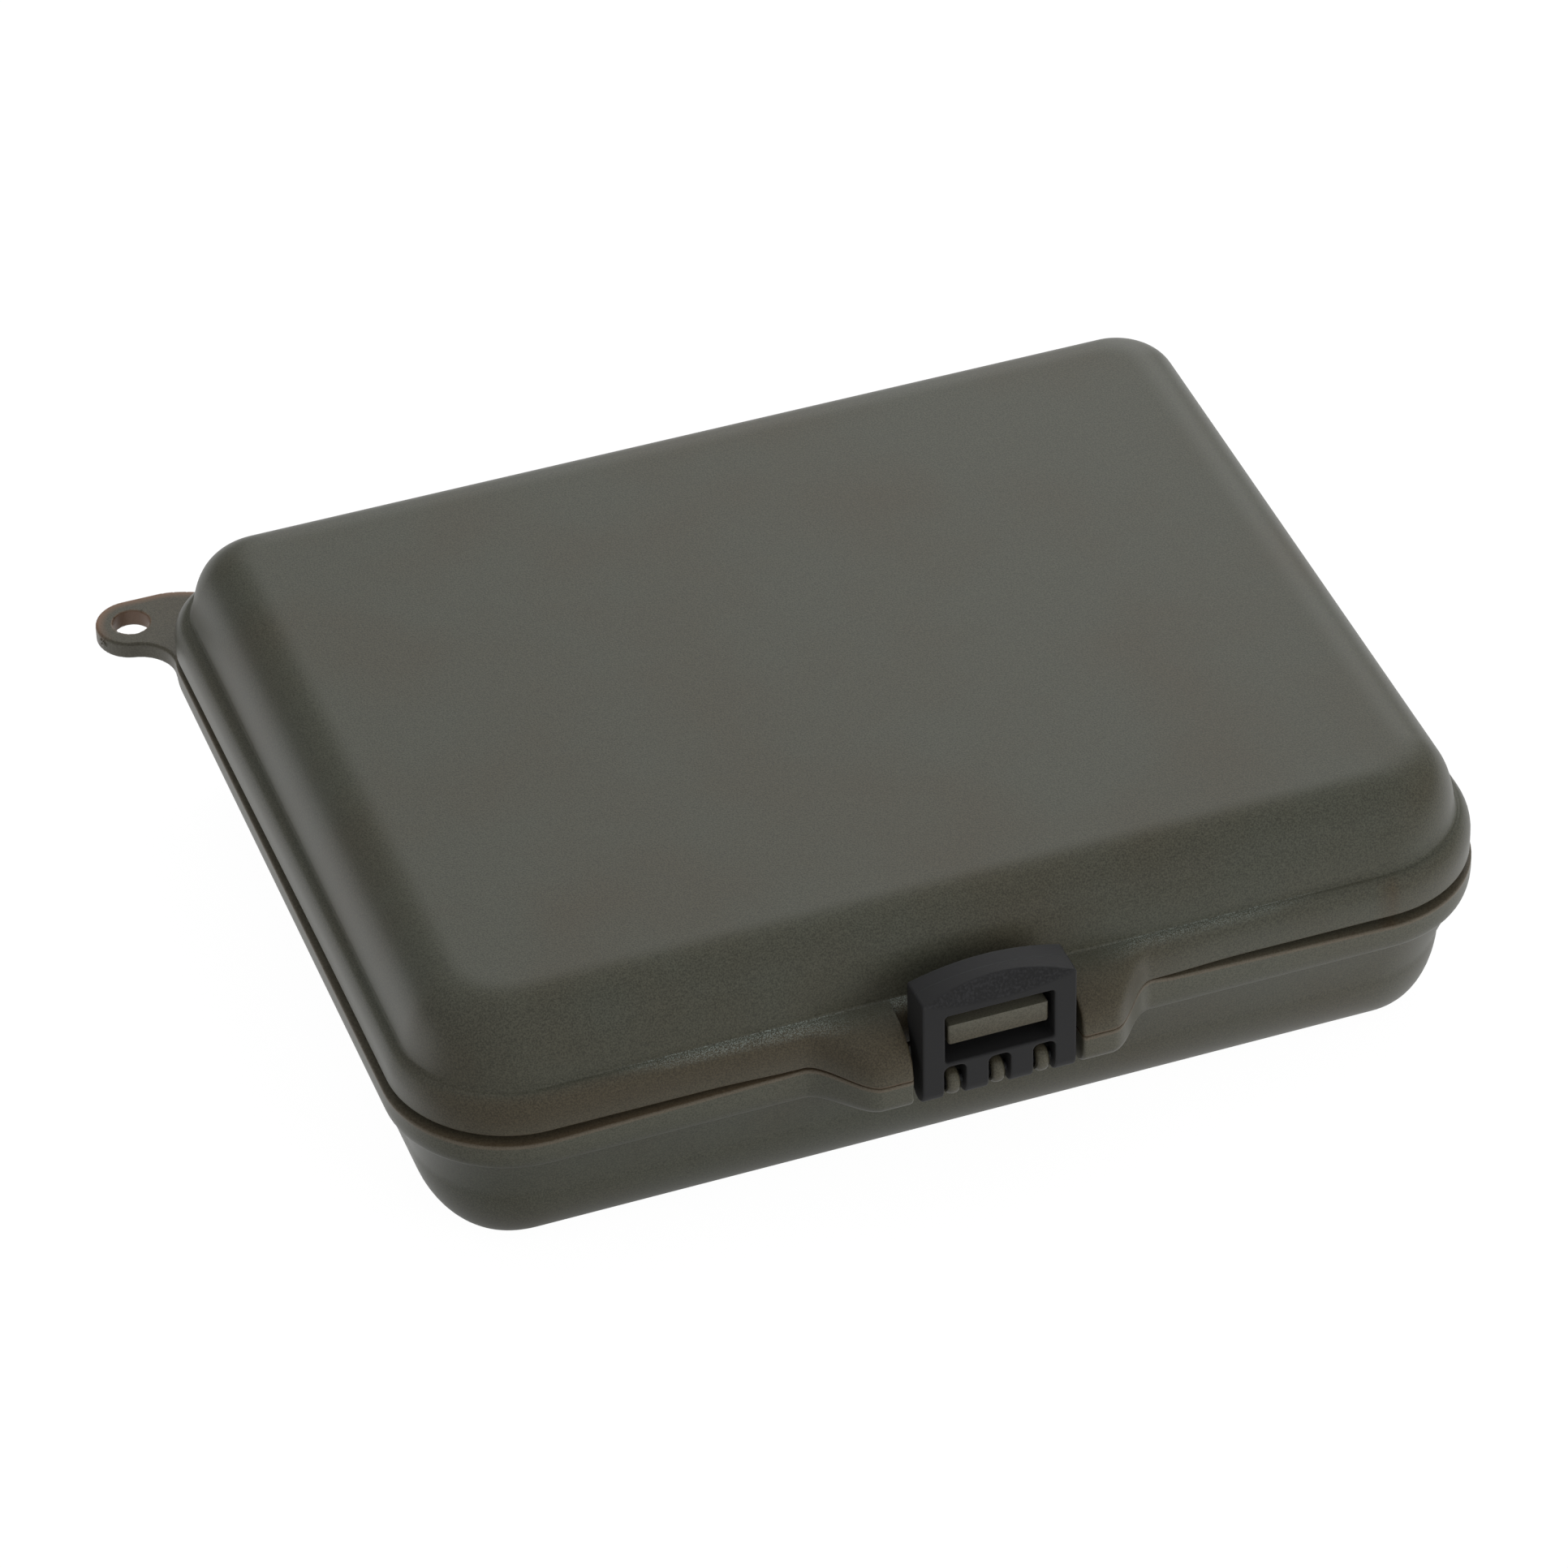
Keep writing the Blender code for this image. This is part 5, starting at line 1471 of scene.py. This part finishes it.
def sweep_tree():
    tree, given, result = new_tree("sweep_round_the_rim", SWEEP_INPUTS)
    inputs = {"Width": given["Length"], "Height": given["Depth"]}
    path = node(tree, "GeometryNodeCurvePrimitiveQuadrilateral", inputs)
    place = node(tree, SEPARATE, {0: node(tree, "GeometryNodeInputPosition")}, "Y")
    at_rear = node(tree, MATH, {0: place, 1: 0.0}, operation="GREATER_THAN")
    share = node(tree, MAP_RANGE, {"Value": at_rear, "To Min": 1.0, "To Max": given["Rear Share"]})
    radius = node(tree, MATH, {0: given["Corner Radius"], 1: share}, operation="MULTIPLY")
    inputs = {"Curve": path, "Count": CORNER_STEPS, "Radius": radius}
    path = node(tree, "GeometryNodeFilletCurve", inputs, mode="POLY")
    section = node(tree, "GeometryNodeMeshToCurve", {"Mesh": given["Geometry"]})
    ring = node(tree, "GeometryNodeCurveToMesh", {"Curve": path, "Profile Curve": section})
    lift = node(tree, COMBINE, {"Z": given["Height"]})
    ring = node(tree, "GeometryNodeSetPosition", {"Geometry": ring, "Offset": lift})
    return ended_tree(tree, ring, given, result)


def seal_section():
    """(across, up) points of the seal's section: a flat back and two round lips below."""
    half = SEAL_WIDTH / 2
    lip = half / 2
    points = [(half, SEAL_HEIGHT), (-half, SEAL_HEIGHT)]
    for across in (-lip, lip):
        points += arc(across, SEAL_LIP, lip, 180, 360, LIP_STEPS)
    return [(x, max(y, 0.0)) for x, y in points]


def dressed_seal():
    section = seal_section()
    mesh = bpy.data.meshes.new("seal_lips")
    edges = [(place, (place + 1) % len(section)) for place in range(len(section))]
    mesh.from_pydata([(x, y, 0) for x, y in section], edges, [])
    seal = new_object("seal_lips", mesh)
    inset = SEAL_OUTER_INSET + SEAL_WIDTH / 2
    apply_tree(
        seal,
        sweep_tree(),
        length=2 * (HALF_LENGTH - inset),
        depth=2 * (HALF_DEPTH - inset),
        corner_radius=RIM_CORNER_RADIUS - inset,
        rear_share=REAR_CORNER_SHARE,
        height=PARTING_Z + SEAL_BOTTOM,
        material=rubber,
    )
    return smoothed(cleaned(made_plain(seal), weld=True), SEAL_SHARP_DEGREES)


seal = dressed_seal()
print("seal in mm:", [round(size / MM, 2) for size in seal.dimensions])

# %% [markdown]
# ## The pins
#
# Each pin is a length of steel wire with chamfered ends. A cylinder with a bevel would do, but a profile
# turned by a Screw modifier has its chamfer from the start. It is turned upright and then laid along X at
# its hinge.

# %% Build the pins
PIN_CHAMFER = 0.25 * MM
PIN_STEPS = 40


def turned_pin(name, node_name, radius):
    low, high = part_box(node_name)
    length = high.x - low.x
    profile = [(0, 0), (radius - PIN_CHAMFER, 0), (radius, PIN_CHAMFER), (radius, length - PIN_CHAMFER)]
    profile += [(radius - PIN_CHAMFER, length), (0, length)]
    mesh = bpy.data.meshes.new(name)
    mesh.from_pydata([(x, 0, z) for x, z in profile], [(i, i + 1) for i in range(len(profile) - 1)], [])
    pin = new_object(name, mesh)
    screw = pin.modifiers.new("turn", "SCREW")
    screw.steps = screw.render_steps = PIN_STEPS
    screw.use_merge_vertices = True
    screw.merge_threshold = WELD_DISTANCE
    made_plain(pin)
    along_x = Vector((0, 0, 1)).rotation_difference(Vector((1, 0, 0))).to_matrix().to_4x4()
    centre = middle(node_name)
    cleaned(pin, turn=Matrix.Translation((low.x, centre.y, centre.z)) @ along_x)
    pin.data.materials.append(steel)
    return smoothed(pin)


latch_pin = turned_pin("latch_wire", "latch_pin", LATCH_PIN_RADIUS)
left_pin = turned_pin("hinge_wire_left", "hinge_pin_left", HINGE_PIN_RADIUS)
right_pin = turned_pin("hinge_wire_right", "hinge_pin_right", HINGE_PIN_RADIUS)
print("pins made:", latch_pin.name, left_pin.name, right_pin.name)

# %% [markdown]
# ## What moves with what
#
# Each piece rides on a body of the frame. Those that stand for a CAD solid hide it, and the solid stays in
# the physics model.

# %% Hang the pieces on the frame
RIDES = (
    (tub, "base", "base_shell", "olive_plastic"),
    (ear, "base", None, "olive_plastic"),
    (ribs, "base", None, "olive_plastic"),
    (base_knuckles, "base", None, "olive_plastic"),
    (tub_marks, "base", None, "olive_plastic"),
    (latch_pin, "base", "latch_pin", "pin_steel"),
    (left_pin, "base", "hinge_pin_left", "pin_steel"),
    (right_pin, "base", "hinge_pin_right", "pin_steel"),
    (lid, "lid", "lid_shell", "olive_plastic"),
    (lid_knuckles, "lid", None, "olive_plastic"),
    (lid_marks, "lid", None, "olive_plastic"),
    (catch, "lid", None, "olive_plastic"),
    (seal, "lid", "seal_ring", "seal_rubber"),
    (latch, "latch", "latch", "latch_plastic"),
)
for piece, body, cad_node, slot in RIDES:
    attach(piece, body)
    if cad_node:
        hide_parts(cad_node)
print("pieces:", len(RIDES))

# %% [markdown]
# ## Camera
#
# The camera stands where the photographer stood: about a metre away with a long lens, 39 degrees above the
# table and 19 degrees to the left, with its horizon a little tilted. The numbers come from matching the
# rim's outline and the latch in the photograph.

# %% Place the camera
CAMERA_AZIMUTH = -19.213
CAMERA_ELEVATION = 39.374
CAMERA_ROLL = -1.289
CAMERA_DISTANCE = 1.02837
CAMERA_TARGET = Vector((-0.006389, -0.003928, PARTING_Z))
FOCAL_PIXELS = 9171.3
IMAGE_PIXELS = 1932
SENSOR_WIDTH = 36


def photo_camera():
    azimuth, elevation = math.radians(CAMERA_AZIMUTH), math.radians(CAMERA_ELEVATION)
    roll = math.radians(CAMERA_ROLL)
    level = math.cos(elevation)
    back = Vector((math.sin(azimuth) * level, -math.cos(azimuth) * level, math.sin(elevation)))
    right = Vector((math.cos(azimuth), math.sin(azimuth), 0))
    up = back.cross(right)
    tilted_right = right * math.cos(roll) + up * math.sin(roll)
    tilted_up = up * math.cos(roll) - right * math.sin(roll)
    data = bpy.data.cameras.new("photo_camera")
    data.sensor_width = SENSOR_WIDTH
    data.lens = FOCAL_PIXELS / IMAGE_PIXELS * SENSOR_WIDTH
    camera = new_object("photo_camera", data)
    turn = Matrix((tilted_right, tilted_up, back)).transposed().to_4x4()
    camera.matrix_world = Matrix.Translation(CAMERA_TARGET + back * CAMERA_DISTANCE) @ turn
    return camera


bpy.context.scene.camera = photo_camera()
print(f"lens {bpy.context.scene.camera.data.lens:.1f} mm")

# %% [markdown]
# ## Studio
#
# The case was photographed on white, and the camera sees white everywhere. What the plastic mirrors is
# another matter: its top shows a large soft box behind and above the case, and its front looks dark,
# because the room in front of the table was dark. So the world and the floor ask which kind of ray they
# meet. The camera sees plain white, gloss sees the soft box, a dim tent and a floor that is bright behind
# and dim in front, and all other rays see an even light. Two soft lamps add what shapes the case, one
# behind and one in front, and leave no image of themselves in the plastic. A picture of a real studio could
# light it too, but this way each part of the light has its own number.

# %% Floor, surroundings and lamps
FLOOR_HALF = 2.5
FLOOR_WHITE = linear("#bcbcbc")
FLOOR_GLOW_SHARE = 0.85
FLOOR_GLOW = 1.14
FLOOR_BRIGHT_Y, FLOOR_DIM_Y = -0.55 * HALF_DEPTH, -HALF_DEPTH
FLOOR_FADE_Y, FLOOR_FAR_Y = -1.6 * HALF_DEPTH, -4 * HALF_DEPTH
FLOOR_NEAR_LEFT, FLOOR_NEAR_RIGHT = 0.25, 0.9
FLOOR_FAR_LIGHT = 0.25
WORLD_LOW, WORLD_HIGH = 0.62, 0.6
WORLD_LOW_AT, WORLD_HIGH_AT = -0.6, 0.8
WORLD_LIGHT_FROM = Vector((0, 0.5, 0.87))
SOFTBOX_DIRECTION = Vector((0.43, 0.8, 0.4)).normalized()
SOFTBOX_EDGE_SHARE = 0.9
SOFTBOX_LIGHT = 2.1
TENT_LIGHT = 0.2
WHITE = (1, 1, 1, 1)
BACK_LAMP = {"place": (0.35, 0.6, 0.6), "size": 0.5, "power": 2.2}
FRONT_LAMP = {"place": (0.5, -0.8, 0.25), "size": 0.6, "power": 2.7}


def lights_path(tree):
    """1 for rays that see the backdrop itself (camera, gloss, glass), and 1 for the camera's rays alone."""
    names = ("Is Camera Ray", "Is Glossy Ray", "Is Transmission Ray")
    by_camera, in_gloss, through = [node(tree, "ShaderNodeLightPath", output=name) for name in names]
    seen = node(tree, MATH, {0: by_camera, 1: in_gloss}, operation="MAXIMUM")
    return node(tree, MATH, {0: seen, 1: through}, operation="MAXIMUM"), by_camera


def floor_material():
    """White to the camera. In gloss it is bright behind the case and dim in front, mostly at the left."""
    material, tree = new_material("studio_floor")
    seen, by_camera = lights_path(tree)
    place = node(tree, COORDINATES, output="Object")
    across, forward, _ = node(tree, SEPARATE, {0: place}).node.outputs
    near = node(tree, MAP_RANGE, {
        "Value": across, "From Min": -HALF_LENGTH, "From Max": HALF_LENGTH,
        "To Min": FLOOR_NEAR_LEFT, "To Max": FLOOR_NEAR_RIGHT,
    })
    front = node(tree, MAP_RANGE, {
        "Value": forward, "From Min": FLOOR_FADE_Y, "From Max": FLOOR_FAR_Y,
        "To Min": near, "To Max": FLOOR_FAR_LIGHT,
    })
    gloss = node(tree, MAP_RANGE, {
        "Value": forward, "From Min": FLOOR_BRIGHT_Y, "From Max": FLOOR_DIM_Y,
        "To Min": FLOOR_GLOW, "To Max": front,
    })
    white = node(tree, MATH, {0: by_camera, 1: FLOOR_GLOW}, operation="MULTIPLY")
    strength = node(tree, MATH, {0: gloss, 1: white}, operation="MAXIMUM")
    glow = node(tree, "ShaderNodeEmission", {"Color": WHITE, "Strength": strength})
    matte = node(tree, "ShaderNodeBsdfDiffuse", {"Color": FLOOR_WHITE})
    share = node(tree, MATH, {0: seen, 1: FLOOR_GLOW_SHARE}, operation="MULTIPLY")
    surface = node(tree, "ShaderNodeMixShader", {0: share, 1: matte, 2: glow})
    node(tree, "ShaderNodeOutputMaterial", {"Surface": surface})
    return material


def studio_floor():
    bm = bmesh.new()
    bmesh.ops.create_grid(bm, x_segments=8, y_segments=8, size=FLOOR_HALF)
    mesh = bpy.data.meshes.new("studio_floor")
    bm.to_mesh(mesh)
    bm.free()
    mesh.materials.append(floor_material())
    floor = new_object("studio_floor", mesh)


def studio_world():
    world = bpy.data.worlds.new("studio_tent")
    world.use_nodes = True
    tree = world.node_tree
    tree.nodes.clear()
    seen, by_camera = lights_path(tree)
    direction = node(tree, COORDINATES, output="Generated")
    from_box, from_sky = [
        node(tree, VECTOR_MATH, {0: direction, 1: axis}, "Value", operation="DOT_PRODUCT")
        for axis in (SOFTBOX_DIRECTION, WORLD_LIGHT_FROM)
    ]
    tent = node(tree, MAP_RANGE, {
        "Value": from_box, "From Min": SOFTBOX_EDGE_SHARE, "From Max": 1.0,
        "To Min": TENT_LIGHT, "To Max": SOFTBOX_LIGHT,
    })
    even = node(tree, MAP_RANGE, {
        "Value": from_sky, "From Min": WORLD_LOW_AT, "From Max": WORLD_HIGH_AT,
        "To Min": WORLD_LOW, "To Max": WORLD_HIGH,
    })
    mirrored = node(tree, MATH, {0: tent, 1: by_camera}, operation="MAXIMUM")
    strength = node(tree, MAP_RANGE, {"Value": seen, "To Min": even, "To Max": mirrored})
    background = node(tree, "ShaderNodeBackground", {"Color": WHITE, "Strength": strength})
    node(tree, "ShaderNodeOutputWorld", {"Surface": background})
    return world


def soft_lamp(name, place, size, power):
    """A square soft lamp that looks at the case and leaves no mirror image in the plastic."""
    data = bpy.data.lights.new(name, "AREA")
    data.size = size
    data.energy = power
    lamp = new_object(name, data)
    lamp.location = place
    lamp.visible_glossy = False
    lamp.rotation_euler = (middle("base_shell") - Vector(place)).to_track_quat("-Z", "Y").to_euler()
    return lamp


studio_floor()
bpy.context.scene.world = studio_world()
lamps = [soft_lamp("back_lamp", **BACK_LAMP), soft_lamp("front_lamp", **FRONT_LAMP)]
bpy.context.scene.view_settings.view_transform = "Standard"
print("lamps:", ", ".join(lamp.name for lamp in lamps))
